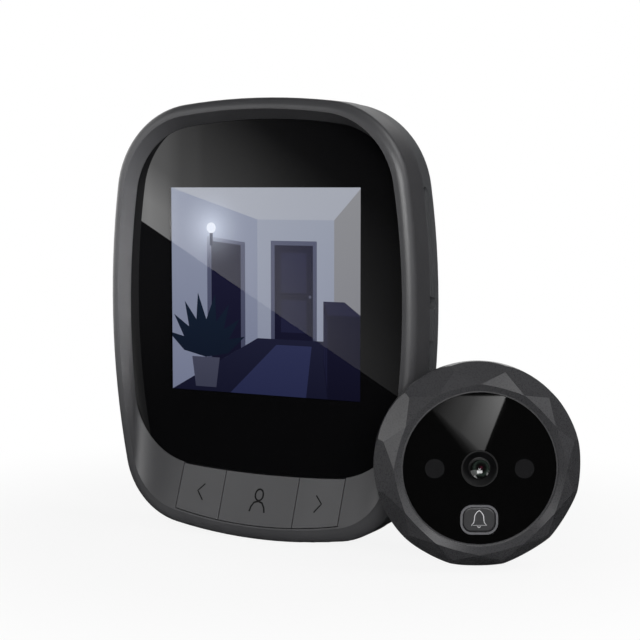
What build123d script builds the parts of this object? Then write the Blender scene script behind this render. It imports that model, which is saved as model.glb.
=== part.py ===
# Digital door viewer: an indoor monitor on its wall bracket and the round outdoor camera unit.
# Millimetres. +X is right, +Y points back at the door, +Z is up.
# The origin is the centre of the bracket's tube hole, in the plane of the door's inside face.
import os
from math import asin, cos, degrees, radians, sin, sqrt

from build123d import *

os.makedirs("parts", exist_ok=True)

# Indoor monitor, overall
monitor_width = 96.4
monitor_height = 122.2
monitor_depth = 19.4
frame_depth = 10.6
dish_depth = 5.2
wall = 1.8
hole_below_top = 47.2
bracket_proud = 0.4

# Crowned outline of the casing: how far its corners lie in from its sides, and their radii
crown_top = 4.6
crown_bottom = 5.3
shoulder = 5.8
hip = 7.6
corner_radius_top = 26.0
corner_radius_bottom = 21.0
rim_rounding = 2.8

# Rim width from the casing's side to the crest, and from the crest to the glass
rim_side = 3.2
rim_top = 3.1
rim_bottom = 3.7
slope_side = 0.8
slope_top = 2.5
key_band = 14.3

# Glass and picture panel
glass_thickness = 1.1
glass_crown_bottom = 2.6
glass_shoulder = 5.2
glass_hip = 3.7
glass_radius = 21.0
tape = 0.1
ledge = 1.1
screen_below_top = 53.2
picture_width = 60.6
picture_height = 57.6
panel_border = 0.5
module_width = 64.6
module_above = 31.4
module_below = 33.0
cell_thickness = 1.2
tray_thickness = 1.4
tray_corner = 1.0

# Keys
view_key_width = 23.6
side_key_width = 14.2
key_gap = 0.25
key_thickness = 1.5
key_skin = 1.8
key_wall = 3.0
key_travel = 0.4
key_stem_radius = 1.5
key_lip = 1.0
key_lip_width = 8.0
switch_size = 3.6
switch_corner = 0.4
switch_height = 1.8
plunger_radius = 0.8
plunger_height = 0.7
slide_gap = 0.06

# Boards and screws
board_thickness = 1.0
board_inset = 3.6
board_below = 24.0
board_above = 39.2
key_board_border = 2.0
key_board_height = 9.0
key_board_corner = 2.0
small_screw_radius = 0.95
small_head_radius = 1.8
small_head_height = 1.0
small_boss_radius = 2.1
small_screw_length = 3.5
key_boss_radius = 1.8
case_screw_radius = 1.1
case_head_radius = 2.2
case_head_height = 1.6
case_boss_radius = 2.9
case_boss_meet = 7.0
case_thread = 4.0
case_head_depth = 3.4
screw_gap = 0.02
screw_clearance = 0.25
case_top_edge = 21.2
case_top_below = 9.7
case_low_gap = 0.9
case_low_above = 14.0
board_top_edge = 12.0
board_low_edge = 10.7
board_screw_above = 33.2
board_screw_below = 20.0
key_screw_margin = 2.6
board_behind = 5.4
key_board_behind = 3.4

# Wall bracket
bracket_width = 52.0
bracket_height = 44.0
bracket_steel = 1.2
bracket_corner = 5.0
tube_hole_radius = 7.25
bracket_recess = 1.6
hook_width = 8.0
hook_lip = 3.4
hook_x = 19.0
hook_upper_z = 11.0
hook_lower_z = -15.0
hook_gap = 0.3
lift = 4.4
bracket_screw_x = 9.5
bracket_screw_z = 17.0
bracket_screw_radius = 2.1
port_width = 18.0
port_height = 16.0
port_corner = 2.0

# Battery bay
battery_width = 52.8
battery_height = 34.0
battery_depth = 5.7
battery_bottom = 7.2
bay_gap = 0.4
bay_wall = 1.6
bay_base = 1.0
door_seat = 0.4
door_gap = 0.2
tab_length = 5.0
tab_reach = 1.4
tab_thickness = 1.0
tab_gap = 0.3
tab_upper = 5.0
tab_lower = 19.0
door_travel = 8.0

# Right side: recess with card slot, reset hole and USB socket
recess_width = 3.0
recess_length = 58.0
recess_depth = 0.9
recess_behind_split = 2.0
cover_step = 0.3
cover_rounding = 3.0
card_z = 19.0
reset_z = -1.9
usb_z = -16.0
reset_hole_radius = 1.7
reset_travel = 0.3
power_z = 8.0
power_travel = 3.0

# Outdoor unit: heights are measured from the door's outside face towards the viewer
unit_yaw = 28.0
unit_radius = 26.7
unit_gap = 15.0
unit_behind_glass = 1.45
gasket_thickness = 0.8
plate_thickness = 1.2
plate_step = 0.3
bezel_band = 2.0
dome_radius = 10.4
crown_height = 12.4
crown_radius = 21.9
facet_count = 12
facet_radius = 25.2
facet_height = 8.0
lip_radius = 20.0
lip_height = 10.9
disc_radius = 19.45
disc_thickness = 1.6
disc_height = 10.25
disc_gap = 0.1
disc_chamfer = 0.3
bezel_wall = 1.4
cavity_radius = 23.6
post_radius = 2.3
post_circle = 20.9
lens_hole_radius = 4.75
lens_radius = 2.45
bell_width = 9.7
bell_height = 7.7
bell_corner = 3.0
bell_margin = 2.4
bell_border = 0.6
bell_travel = 0.6
lamp_offset = 11.4
lamp_radius = 2.5
unit_board_radius = 17.6
unit_board_height = 4.6
tube_radius = 6.0
tube_bore = 4.2
tube_length = 42.0
tube_flange = 8.5
washer_radius = 9.5
washer_thickness = 1.0
washer_rest = 6.0
nut_flats = 17.0
nut_thickness = 5.0

# Levels that follow from those sizes
half_width = monitor_width / 2
top_z = hole_below_top
bottom_z = top_z - monitor_height
screen_z = top_z - screen_below_top
rear_y = -bracket_proud
crest_y = rear_y - monitor_depth
glass_y = crest_y + dish_depth
split_y = crest_y + frame_depth
pocket_y = glass_y + glass_thickness + tape
ledge_y = pocket_y + ledge
crest_low_z = bottom_z + rim_bottom
glass_low_z = crest_low_z + key_band
key_z = (crest_low_z + glass_low_z) / 2
panel_y = glass_y + glass_thickness + tape
module_y = ledge_y + tape
tray_y = module_y + cell_thickness
board_y = glass_y + board_behind
board_back_y = board_y + board_thickness
inner_y = rear_y - wall
floor_y = rear_y - bracket_recess
floor_inner_y = floor_y - wall
side_y = split_y + recess_behind_split
small_hole_depth = small_screw_length - board_thickness + tape


def write(part, label):
    part.label = label
    export_step(part, f"parts/{label}.step")


# A plane across the object at depth y, seen from the front: local x is X and local y is Z
def facing(y):
    return Plane((0, y, 0), x_dir=(1, 0, 0), z_dir=(0, -1, 0))


# A plane across the object at x, facing right: local x is Y and local y is Z
def sideways(x):
    return Plane((x, 0, 0), x_dir=(0, 1, 0), z_dir=(1, 0, 0))


# Four bowed sides with rounded corners
def crowned(half, top, bottom, rises, insets, radii):
    upper = (half - insets[0], top - rises[0])
    lower = (half - insets[1], bottom + rises[1])
    middle = (top + bottom) / 2
    with BuildSketch() as outline:
        with BuildLine():
            ThreePointArc((-upper[0], upper[1]), (0, top), upper)
            ThreePointArc(upper, (half, middle), lower)
            ThreePointArc(lower, (0, bottom), (-lower[0], lower[1]))
            ThreePointArc((-lower[0], lower[1]), (-half, middle), (-upper[0], upper[1]))
        make_face()
        fillet(outline.vertices().group_by(Axis.Y)[-1], radius=radii[0])
        fillet(outline.vertices().group_by(Axis.Y)[0], radius=radii[1])
    return outline.sketch


# How far out the casing's side lies at a height, on its bow
def side_x(z):
    bow = ThreePointArc(
        (half_width - shoulder, top_z - crown_top),
        (half_width, (top_z + bottom_z) / 2),
        (half_width - hip, bottom_z + crown_bottom),
    )
    return bow.arc_center.X + sqrt(bow.radius**2 - (z - bow.arc_center.Y) ** 2)


# The casing's outline, inset by a wall
def casing(inset=0.0):
    return crowned(
        half_width - inset,
        top_z - inset,
        bottom_z + inset,
        (crown_top, crown_bottom),
        (shoulder, hip),
        (corner_radius_top - inset, corner_radius_bottom - inset),
    )


# The crest of the rim, from which the dish falls to the glass
def crest(inset=0.0):
    return crowned(
        half_width - rim_side - inset,
        top_z - rim_top - inset,
        crest_low_z + inset,
        (crown_top, crown_bottom),
        (shoulder, hip),
        (corner_radius_top - rim_side - inset, corner_radius_bottom - rim_side - inset),
    )


def glass_edge(inset=0.0):
    return crowned(
        half_width - rim_side - slope_side - inset,
        top_z - rim_top - slope_top - inset,
        glass_low_z + inset,
        (crown_top, glass_crown_bottom),
        (glass_shoulder, glass_hip),
        (glass_radius - inset, glass_radius - inset),
    )


# Front frame: dished rim, glass pocket and ledge, hollow behind, with the opening for the keys
slope = Plane(
    (0, glass_y, glass_low_z),
    x_dir=(1, 0, 0),
    z_dir=(0, -key_band, dish_depth),
)
row_half = view_key_width / 2 + side_key_width
key_margin = 0.35

with BuildPart() as dish:
    with BuildSketch(facing(crest_y)):
        add(crest())
    with BuildSketch(facing(glass_y)):
        add(glass_edge())
    loft(ruled=True)

with BuildPart() as key_room:
    with BuildSketch(facing(split_y)):
        add(casing(key_wall))
    extrude(amount=frame_depth)
    split(bisect_by=slope.offset(-key_skin), keep=Keep.BOTTOM)

case_top = (half_width - case_top_edge, top_z - case_top_below)
key_screw_x = row_half + key_screw_margin
key_board_half = key_screw_x + key_board_border
case_low = (key_board_half + case_low_gap + case_boss_radius, bottom_z + case_low_above)
case_upper = [(-case_top[0], case_top[1]), case_top]
case_lower = [(-case_low[0], case_low[1]), case_low]
board_screws = [
    (side * (half_width - edge), screen_z + height)
    for side in (-1, 1)
    for edge, height in (
        (board_top_edge, board_screw_above),
        (board_low_edge, -board_screw_below),
    )
]
key_screws = [(-key_screw_x, key_z), (key_screw_x, key_z)]
key_board_y = glass_y + key_board_behind

with BuildPart() as front_frame:
    with BuildSketch(facing(split_y)):
        add(casing())
    extrude(amount=frame_depth)
    fillet(front_frame.faces().sort_by(Axis.Y)[0].edges(), radius=rim_rounding)
    add(dish.part, mode=Mode.SUBTRACT)
    with BuildSketch(facing(glass_y)):
        add(glass_edge())
    extrude(amount=-(glass_thickness + tape), mode=Mode.SUBTRACT)
    with BuildSketch(facing(pocket_y)):
        with Locations((0, screen_z)):
            Rectangle(
                picture_width + 4 * panel_border,
                picture_height + 4 * panel_border,
            )
    extrude(amount=-ledge, mode=Mode.SUBTRACT)
    with BuildSketch(facing(ledge_y)):
        add(casing(wall))
    extrude(amount=-(split_y - ledge_y), mode=Mode.SUBTRACT)
    add(key_room.part, mode=Mode.SUBTRACT)
    with BuildSketch(facing(crest_y)):
        add(crest(key_margin))
        add(glass_edge(), mode=Mode.SUBTRACT)
        with Locations((0, key_z)):
            Rectangle(2 * row_half + key_gap, 2 * key_band, mode=Mode.INTERSECT)
    extrude(amount=-frame_depth, mode=Mode.SUBTRACT)
    with BuildSketch(facing(glass_y + case_boss_meet)):
        with Locations(*case_upper):
            Circle(case_boss_radius)
    extrude(amount=case_boss_meet - glass_thickness - tape - ledge / 2)
    with BuildSketch(facing(glass_y + case_boss_meet)):
        with Locations(*case_lower):
            Circle(case_boss_radius)
        add(casing(key_wall + tape), mode=Mode.INTERSECT)
    extrude(amount=case_boss_meet)
    with BuildSketch(facing(board_y)):
        with Locations(*board_screws):
            Circle(small_boss_radius)
    extrude(amount=board_y - pocket_y - ledge / 2)
    with BuildSketch(facing(key_board_y)):
        with Locations(*key_screws):
            Circle(key_boss_radius)
    extrude(amount=key_board_y - glass_y + key_skin)
    with BuildSketch(facing(glass_y + case_boss_meet)):
        with Locations(*case_upper, *case_lower):
            Circle(case_screw_radius + screw_gap)
    extrude(amount=case_thread, mode=Mode.SUBTRACT)
    with BuildSketch(facing(board_y)):
        with Locations(*board_screws):
            Circle(small_screw_radius + screw_gap)
    extrude(amount=small_hole_depth, mode=Mode.SUBTRACT)
    with BuildSketch(facing(key_board_y)):
        with Locations(*key_screws):
            Circle(small_screw_radius + screw_gap)
    extrude(amount=small_hole_depth, mode=Mode.SUBTRACT)
write(front_frame.part, "front_frame")

# Display glass, with the picture panel and its tray behind the ledge
with BuildPart() as display_glass:
    with BuildSketch(facing(glass_y)):
        add(glass_edge(tape))
    extrude(amount=-glass_thickness)
write(display_glass.part, "display_glass")

module_z = screen_z + (module_above - module_below) / 2
with BuildPart() as picture_panel:
    with BuildSketch(facing(module_y)):
        with Locations((0, module_z)):
            Rectangle(module_width, module_above + module_below)
    extrude(amount=-cell_thickness)
    with BuildSketch(facing(module_y)):
        with Locations((0, screen_z)):
            Rectangle(picture_width + 2 * panel_border, picture_height + 2 * panel_border)
    extrude(amount=module_y - panel_y)
write(picture_panel.part, "picture_panel")

with BuildPart() as panel_tray:
    with BuildSketch(facing(tray_y)):
        with Locations((0, module_z)):
            RectangleRounded(module_width, module_above + module_below, tray_corner)
    extrude(amount=-tray_thickness)
write(panel_tray.part, "panel_tray")


# Keys: pieces of the sloped band, each with a stem for its switch and a lip that holds it in
def crest_low(x):
    reach = half_width - rim_side - key_margin - hip
    bow = (reach**2 + crown_bottom**2) / (2 * crown_bottom)
    return crest_low_z + key_margin + bow - sqrt(bow**2 - x**2)


def key(left, right):
    middle = (left + right) / 2
    low = crest_low(max(abs(middle) - key_lip_width / 2, 0)) + key_gap + key_lip / 2
    with BuildPart() as body:
        with BuildSketch(facing(crest_y)):
            add(crest(key_margin + key_gap))
            add(glass_edge(-key_gap), mode=Mode.SUBTRACT)
            with Locations((middle, key_z)):
                Rectangle(right - left - key_gap, 2 * key_band, mode=Mode.INTERSECT)
        extrude(amount=-2 * dish_depth)
        add(dish.part, mode=Mode.SUBTRACT)
        split(bisect_by=slope.offset(-key_thickness), keep=Keep.TOP)
        lip_plane = slope.offset(-key_skin - key_gap)
        low_v = lip_plane.to_local_coords(Vector(middle, glass_y, low)).Y
        with BuildSketch(lip_plane):
            with Locations((middle, low_v + key_lip)):
                Rectangle(key_lip_width, 2 * key_lip)
        extrude(amount=-key_lip)
        lip_depth = key_skin + key_gap + key_lip
        with BuildSketch(slope.offset(-lip_depth)):
            with Locations((middle, low_v + 3 * key_lip)):
                Rectangle(key_lip_width, 2 * key_lip)
        extrude(amount=lip_depth - key_thickness / 2)
        with BuildSketch(facing(plunger_y)):
            with Locations((middle, key_z)):
                Circle(key_stem_radius)
        extrude(amount=dish_depth / 2)
    return body.part


switch_y = key_board_y - switch_height
plunger_y = switch_y - plunger_height
side_key_x = (view_key_width + side_key_width) / 2
key_places = {"left": -side_key_x, "view": 0.0, "right": side_key_x}
view_half = view_key_width / 2
write(key(-row_half, -view_half), "left_key")
write(key(-view_half, view_half), "view_key")
write(key(view_half, row_half), "right_key")

for side, place in key_places.items():
    with BuildPart() as plunger:
        with BuildSketch(facing(plunger_y)):
            with Locations((place, key_z)):
                Circle(plunger_radius)
        extrude(amount=-plunger_height - switch_height / 2)
    write(plunger.part, f"{side}_plunger")

with BuildPart() as key_switches:
    with BuildSketch(facing(switch_y)):
        with Locations(*[(place, key_z) for place in key_places.values()]):
            RectangleRounded(switch_size, switch_size, switch_corner)
    extrude(amount=-switch_height)
    with BuildSketch(facing(switch_y)):
        with Locations(*[(place, key_z) for place in key_places.values()]):
            Circle(plunger_radius + slide_gap)
    extrude(amount=-switch_height / 2 - key_travel - slide_gap, mode=Mode.SUBTRACT)
write(key_switches.part, "key_switches")

with BuildPart() as key_board:
    with BuildSketch(facing(key_board_y)):
        with Locations((0, key_z)):
            RectangleRounded(
                2 * key_board_half,
                key_board_height,
                key_board_corner,
            )
        with Locations(*key_screws):
            Circle(small_screw_radius + screw_gap, mode=Mode.SUBTRACT)
    extrude(amount=-board_thickness)
write(key_board.part, "key_board")


# Main board, cut to the casing's outline, with its chips and sockets on the back
with BuildPart() as main_board:
    with BuildSketch(facing(board_y)):
        add(casing(board_inset))
        with Locations((0, screen_z + (board_above - board_below) / 2)):
            Rectangle(monitor_width, board_above + board_below, mode=Mode.INTERSECT)
        with Locations(*board_screws):
            Circle(small_screw_radius + screw_gap, mode=Mode.SUBTRACT)
    extrude(amount=-board_thickness)
write(main_board.part, "main_board")

# The processor, its memory beside it and the radio chip below
processor_size = 12.0
processor_thickness = 1.4
memory_width = 8.0
memory_height = 6.0
radio_size = 7.0
chip_thickness = 1.0
processor_x = -15.0
memory_x = 12.0
radio_x = -16.0
radio_below = 2.0
chip_row = 24.0
chip_row_z = screen_z + chip_row
with BuildPart() as board_chips:
    with BuildSketch(facing(board_back_y)):
        with Locations((processor_x, chip_row_z)):
            Rectangle(processor_size, processor_size)
    extrude(amount=-processor_thickness)
    with BuildSketch(facing(board_back_y)):
        with Locations((memory_x, chip_row_z)):
            Rectangle(memory_width, memory_height)
        with Locations((radio_x, screen_z - radio_below)):
            Rectangle(radio_size, radio_size)
    extrude(amount=-chip_thickness)
write(board_chips.part, "board_chips")

# Socket for the outdoor unit's ribbon, open towards the door
camera_socket_height = 2.6
camera_socket_length = 14.0
camera_socket_width = 5.0
camera_socket_wall = 1.8
with BuildPart() as camera_socket:
    with BuildSketch(facing(board_back_y)):
        Rectangle(camera_socket_length, camera_socket_width)
    extrude(amount=-camera_socket_height)
    with BuildSketch(facing(board_back_y + camera_socket_height)):
        Rectangle(
            camera_socket_length - 2 * camera_socket_wall,
            camera_socket_width - 2 * camera_socket_wall,
        )
    extrude(amount=camera_socket_height - board_thickness, mode=Mode.SUBTRACT)
write(camera_socket.part, "camera_socket")

# Card socket, a flat box with its mouth behind the slot in the side wall
card_width = 14.6
card_height = 1.8
card_depth = 15.0
card_shell = 0.45
card_frame = 1.6
mouth_gap = 0.3
card_center = (board_back_y + card_height / 2, screen_z + card_z)
card_mouth_x = side_x(card_center[1] + card_width / 2) - cover_step - wall - mouth_gap
with BuildPart() as card_socket:
    with BuildSketch(sideways(card_mouth_x)):
        with Locations(card_center):
            Rectangle(card_height, card_width)
    extrude(amount=-card_depth)
    with BuildSketch(sideways(card_mouth_x)):
        with Locations(card_center):
            Rectangle(card_height - 2 * card_shell, card_width - 2 * card_frame)
    extrude(amount=-(card_depth - card_frame), mode=Mode.SUBTRACT)
write(card_socket.part, "card_socket")

# Power and data socket, with its tongue
usb_width = 7.5
usb_height = 2.7
usb_depth = 5.6
usb_shell = 0.3
usb_corner = 0.8
tongue_width = 4.0
tongue_thickness = 0.6
usb_center = (board_back_y + usb_height / 2, screen_z + usb_z)
usb_mouth_x = side_x(usb_center[1]) - cover_step - wall - mouth_gap
with BuildPart() as usb_socket:
    with BuildSketch(sideways(usb_mouth_x)):
        with Locations(usb_center):
            RectangleRounded(usb_height, usb_width, usb_corner)
    extrude(amount=-usb_depth)
    with BuildSketch(sideways(usb_mouth_x)):
        with Locations(usb_center):
            RectangleRounded(
                usb_height - 2 * usb_shell,
                usb_width - 2 * usb_shell,
                usb_corner - usb_shell,
            )
    extrude(amount=-(usb_depth - 2 * usb_shell), mode=Mode.SUBTRACT)
    with BuildSketch(sideways(usb_mouth_x - tongue_thickness)):
        with Locations(usb_center):
            Rectangle(tongue_thickness, tongue_width)
    extrude(amount=-(usb_depth - tongue_thickness))
write(usb_socket.part, "usb_socket")

# Reset button: a cap in the side wall's hole, with a stem into its switch
side_switch_height = 3.4
side_switch_depth = 3.6
reset_switch_length = 4.2
reset_stem_reach = 0.8
reset_cap_gap = 0.15
reset_cap_thickness = 1.0
reset_cap_below = 1.8
reset_switch_below = 4.8
reset_cap_x = half_width - reset_cap_below
reset_switch_x = half_width - reset_switch_below
reset_center = (board_back_y + side_switch_height / 2, screen_z + reset_z)
with BuildPart() as reset_button:
    with BuildSketch(sideways(reset_cap_x)):
        with Locations(reset_center):
            Circle(reset_hole_radius - reset_cap_gap)
    extrude(amount=-reset_cap_thickness)
    with BuildSketch(sideways(reset_cap_x)):
        with Locations(reset_center):
            Circle(plunger_radius)
    extrude(amount=-(reset_cap_x - reset_switch_x) - reset_stem_reach)
write(reset_button.part, "reset_button")

with BuildPart() as reset_switch:
    with BuildSketch(sideways(reset_switch_x)):
        with Locations(reset_center):
            Rectangle(side_switch_height, reset_switch_length)
    extrude(amount=-side_switch_depth)
    with BuildSketch(sideways(reset_switch_x)):
        with Locations(reset_center):
            Circle(plunger_radius + slide_gap)
    extrude(amount=-(reset_stem_reach + reset_travel + slide_gap), mode=Mode.SUBTRACT)
write(reset_switch.part, "reset_switch")

# Power switch on the left side: the slider rides in a slot and works the switch's lever
slider_width = 2.2
slider_length = 4.4
slider_corner = 0.5
slider_rim = 0.6
slider_below = 0.3
slider_fork = 1.4
slider_flange = 1.0
slider_flange_below = 3.1
slider_lever = 1.6
power_switch_length = 9.0
slider_out_x = -(half_width - cover_step - slider_below)
slider_in_x = -(half_width - slider_flange_below)
flange_x = slider_in_x + slider_flange
power_switch_x = flange_x + slider_lever
power_center = (board_back_y + side_switch_height / 2, screen_z + power_z)
power_middle = (power_center[0], power_center[1] + power_travel / 2)
with BuildPart() as power_slider:
    with BuildSketch(sideways(slider_out_x)):
        with Locations(power_center):
            RectangleRounded(slider_width, slider_length, slider_corner)
    extrude(amount=slider_in_x - slider_out_x)
    with BuildSketch(sideways(slider_in_x)):
        with Locations(power_center):
            RectangleRounded(
                slider_width + 2 * slider_rim,
                slider_length + 2 * slider_rim,
                slider_corner,
            )
    extrude(amount=flange_x - slider_in_x)
    with BuildSketch(sideways(flange_x)):
        with Locations(power_center):
            Rectangle(slider_fork, slider_fork)
    extrude(amount=power_switch_x - flange_x - tape)
write(power_slider.part, "power_slider")

with BuildPart() as power_switch:
    with BuildSketch(sideways(power_switch_x)):
        with Locations(power_middle):
            Rectangle(side_switch_height, power_switch_length)
    extrude(amount=side_switch_depth)
write(power_switch.part, "power_switch")


# Rear cover: a shell with the bracket's recess, the battery bay and the openings on its sides
def cover_blank():
    with BuildPart() as blank:
        with BuildSketch(facing(rear_y)):
            add(casing(cover_step))
        extrude(amount=rear_y - split_y)
        fillet(blank.faces().sort_by(Axis.Y)[-1].edges(), radius=cover_rounding)
    return blank.part


# A shallow pocket in the side wall that follows the wall's bow
def side_pocket(side, z, length, width):
    with BuildPart() as pocket:
        with BuildSketch(sideways(side * half_width / 2)):
            with Locations((side_y, screen_z + z)):
                SlotOverall(length, width, rotation=90)
        extrude(amount=side * half_width)
        with BuildSketch(facing(rear_y)):
            add(casing(cover_step + recess_depth))
        extrude(amount=rear_y - split_y, mode=Mode.SUBTRACT)
    return pocket.part


bay_bottom = bottom_z + battery_bottom
bay_half = battery_width / 2 + bay_gap
bay_top = bay_bottom + battery_height + 2 * bay_gap
bay_z = (bay_bottom + bay_top) / 2
door_y = inner_y + tape
battery_back_y = door_y - tape
battery_front_y = battery_back_y - battery_depth
bay_floor_y = battery_front_y - tape
door_top = bay_top + door_seat + door_gap
door_half = bay_half + door_seat
tab_in_x = battery_width / 2 + tape
tab_out_x = door_half + tab_reach
tab_front_y = inner_y - tab_gap - tab_thickness
contact_above = 2.0
contact_z = bay_z + contact_above
contact_length = 9.0
contact_height = 3.9
contact_low_y = bay_floor_y + door_gap
contact_high_y = contact_low_y + contact_height
bracket_side_gap = 3.0
bracket_end_gap = 0.6
recess_half = bracket_width / 2 + bracket_side_gap
recess_high = bracket_height / 2 + bracket_end_gap
recess_low = -bracket_height / 2 - lift - bracket_end_gap
recess_z = (recess_high + recess_low) / 2
hooks = [(side * hook_x, z) for side in (-1, 1) for z in (hook_lower_z, hook_upper_z)]
slot_high = bracket_steel / 2 + door_gap
slot_low = -bracket_steel / 2 - lift - hook_gap
tab_heights = [door_top - drop - tab_length / 2 for drop in (tab_upper, tab_lower)]
speaker_width = 9.0
speaker_length = 22.0
speaker_depth = 4.6
speaker_edge = 12.3
speaker_below = 33.0
speaker_x = -(half_width - speaker_edge)
speaker_z = screen_z - speaker_below
grille_count = 6
grille_pitch = 2.6
grille_length = 6.4
grille_width = 1.0
power_recess_length = 15.0
card_slot_width = 1.3
card_slot_length = 12.2

with BuildPart() as rear_cover:
    add(cover_blank())
    with BuildSketch(facing(inner_y)):
        add(casing(cover_step + wall))
    extrude(amount=inner_y - split_y, mode=Mode.SUBTRACT)
    # The thicker floor behind the bracket's recess
    with BuildSketch(facing(inner_y)):
        with Locations((0, recess_z)):
            Rectangle(2 * recess_half + 2 * wall, recess_high - recess_low + 2 * wall)
    extrude(amount=inner_y - floor_inner_y)
    with BuildSketch(facing(rear_y)):
        with Locations((0, recess_z)):
            RectangleRounded(2 * recess_half, recess_high - recess_low, bracket_corner + door_gap)
    extrude(amount=bracket_recess, mode=Mode.SUBTRACT)
    with BuildSketch(facing(rear_y)):
        with Locations(*[(x, z + (slot_high + slot_low) / 2) for x, z in hooks]):
            Rectangle(hook_width + 2 * hook_gap, slot_high - slot_low)
        RectangleRounded(port_width, port_height, port_corner)
    extrude(amount=rear_y - floor_inner_y, mode=Mode.SUBTRACT)
    # Battery bay
    with BuildSketch(facing(inner_y)):
        with Locations((0, bay_z)):
            Rectangle(2 * bay_half + 2 * bay_wall, bay_top - bay_bottom + 2 * bay_wall)
    extrude(amount=inner_y - bay_floor_y + bay_base)
    with BuildSketch(facing(inner_y)):
        with Locations((0, bay_z)):
            Rectangle(2 * bay_half, bay_top - bay_bottom)
    extrude(amount=inner_y - bay_floor_y, mode=Mode.SUBTRACT)
    with BuildSketch(facing(rear_y)):
        with Locations((0, (door_top + bottom_z - wall) / 2)):
            Rectangle(2 * (door_half + door_gap), door_top - bottom_z + wall)
        with Locations(*[(0, z - door_travel) for z in tab_heights]):
            Rectangle(2 * (tab_out_x + door_gap), tab_length + 2 * door_gap)
    extrude(amount=wall, mode=Mode.SUBTRACT)
    # Channels in the bay's walls for the door's tabs
    with BuildSketch(facing(inner_y)):
        with Locations(*[(0, z - door_travel / 2) for z in tab_heights]):
            Rectangle(2 * (bay_half + bay_wall + tape), tab_length + door_travel + 2 * door_gap)
        with Locations((0, bay_z)):
            Rectangle(2 * bay_half, monitor_height, mode=Mode.SUBTRACT)
    extrude(amount=inner_y - tab_front_y + door_gap, mode=Mode.SUBTRACT)
    with BuildSketch(facing(contact_high_y)):
        with Locations((-bay_half - bay_wall / 2, contact_z)):
            Rectangle(2 * bay_wall, contact_length + 2 * tape)
    extrude(amount=contact_height, mode=Mode.SUBTRACT)
    # Screw bosses and their deep holes from behind
    with BuildSketch(facing(inner_y)):
        with Locations(*case_upper, *case_lower):
            Circle(case_boss_radius)
        add(casing(key_wall + tape), mode=Mode.INTERSECT)
    extrude(amount=inner_y - glass_y - case_boss_meet - tape)
    with BuildSketch(facing(rear_y)):
        with Locations(*case_upper, *case_lower):
            Circle(case_screw_radius + screw_clearance)
    extrude(amount=rear_y - glass_y - case_boss_meet, mode=Mode.SUBTRACT)
    with BuildSketch(facing(rear_y)):
        with Locations(*case_upper, *case_lower):
            Circle(case_head_radius + screw_clearance)
    extrude(amount=case_head_depth, mode=Mode.SUBTRACT)
    # Speaker grille
    with BuildSketch(facing(rear_y)):
        with Locations((speaker_x, speaker_z)):
            with GridLocations(1, grille_pitch, 1, grille_count):
                SlotOverall(grille_length, grille_width)
    extrude(amount=wall, mode=Mode.SUBTRACT)
    # Side recesses and their openings
    add(side_pocket(1, 0.0, recess_length, recess_width), mode=Mode.SUBTRACT)
    add(
        side_pocket(-1, power_z + power_travel / 2, power_recess_length, recess_width),
        mode=Mode.SUBTRACT,
    )
    with BuildSketch(sideways(half_width)):
        with Locations(card_center):
            Rectangle(card_slot_width, card_slot_length)
        with Locations(usb_center):
            RectangleRounded(usb_height, usb_width + 2 * door_gap, usb_corner)
        with Locations(reset_center):
            Circle(reset_hole_radius)
    extrude(amount=-2 * wall - shoulder / 2, mode=Mode.SUBTRACT)
    with BuildSketch(sideways(-half_width)):
        with Locations(power_middle):
            Rectangle(slider_width + door_gap, slider_length + power_travel + door_gap)
    extrude(amount=2 * wall, mode=Mode.SUBTRACT)
write(rear_cover.part, "rear_cover")

# Battery door: a piece of the rear wall with tabs that slide behind the bay's edges, and a thumb grip
grip_above = 14.0
grip_count = 5
grip_pitch = 1.8
grip_length = 16.0
grip_width = 0.8
grip_depth = 0.4
with BuildPart() as battery_door:
    add(cover_blank())
    with BuildSketch(facing(rear_y)):
        with Locations((0, (door_top - door_gap + bottom_z - wall) / 2)):
            Rectangle(2 * door_half, door_top - door_gap - bottom_z + wall)
    extrude(amount=rear_y - door_y, mode=Mode.INTERSECT)
    for reach, start_y in ((door_half - tape, door_y), (tab_out_x, tab_front_y + tab_thickness)):
        with BuildSketch(facing(start_y)):
            with Locations(*[(0, z) for z in tab_heights]):
                Rectangle(2 * reach, tab_length)
            with Locations((0, bay_z)):
                Rectangle(2 * tab_in_x, monitor_height, mode=Mode.SUBTRACT)
        extrude(amount=start_y - tab_front_y)
    with BuildSketch(facing(rear_y)):
        with Locations((0, bottom_z + grip_above)):
            with GridLocations(1, grip_pitch, 1, grip_count):
                SlotOverall(grip_length, grip_width)
    extrude(amount=grip_depth, mode=Mode.SUBTRACT)
write(battery_door.part, "battery_door")

battery_corner = 1.5
battery_rounding = 0.8
with BuildPart() as battery_pack:
    with BuildSketch(facing(battery_back_y)):
        with Locations((0, bay_z)):
            RectangleRounded(battery_width, battery_height, battery_corner)
    extrude(amount=battery_depth)
    pouch_edges = battery_pack.edges().filter_by(GeomType.LINE).filter_by(Axis.Y, reverse=True)
    fillet(pouch_edges, radius=battery_rounding)
write(battery_pack.part, "battery_pack")

# Contact block in the bay's side wall, with three blades that press on the battery's pads
contact_block_width = 3.4
blade_count = 3
blade_width = 1.2
blade_inset = 0.5
with BuildPart() as contact_block:
    with BuildSketch(facing(contact_high_y - tape)):
        with Locations((-bay_half - contact_block_width / 2, contact_z)):
            Rectangle(contact_block_width, contact_length)
    extrude(amount=contact_height - 2 * tape)
write(contact_block.part, "contact_block")

with BuildPart() as contact_blades:
    with BuildSketch(facing(contact_high_y - blade_inset)):
        with Locations((-bay_half + bay_gap / 2, contact_z)):
            with GridLocations(1, contact_length / blade_count, 1, blade_count):
                Rectangle(bay_gap, blade_width)
    extrude(amount=contact_height - 2 * blade_inset)
write(contact_blades.part, "contact_blades")

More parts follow.
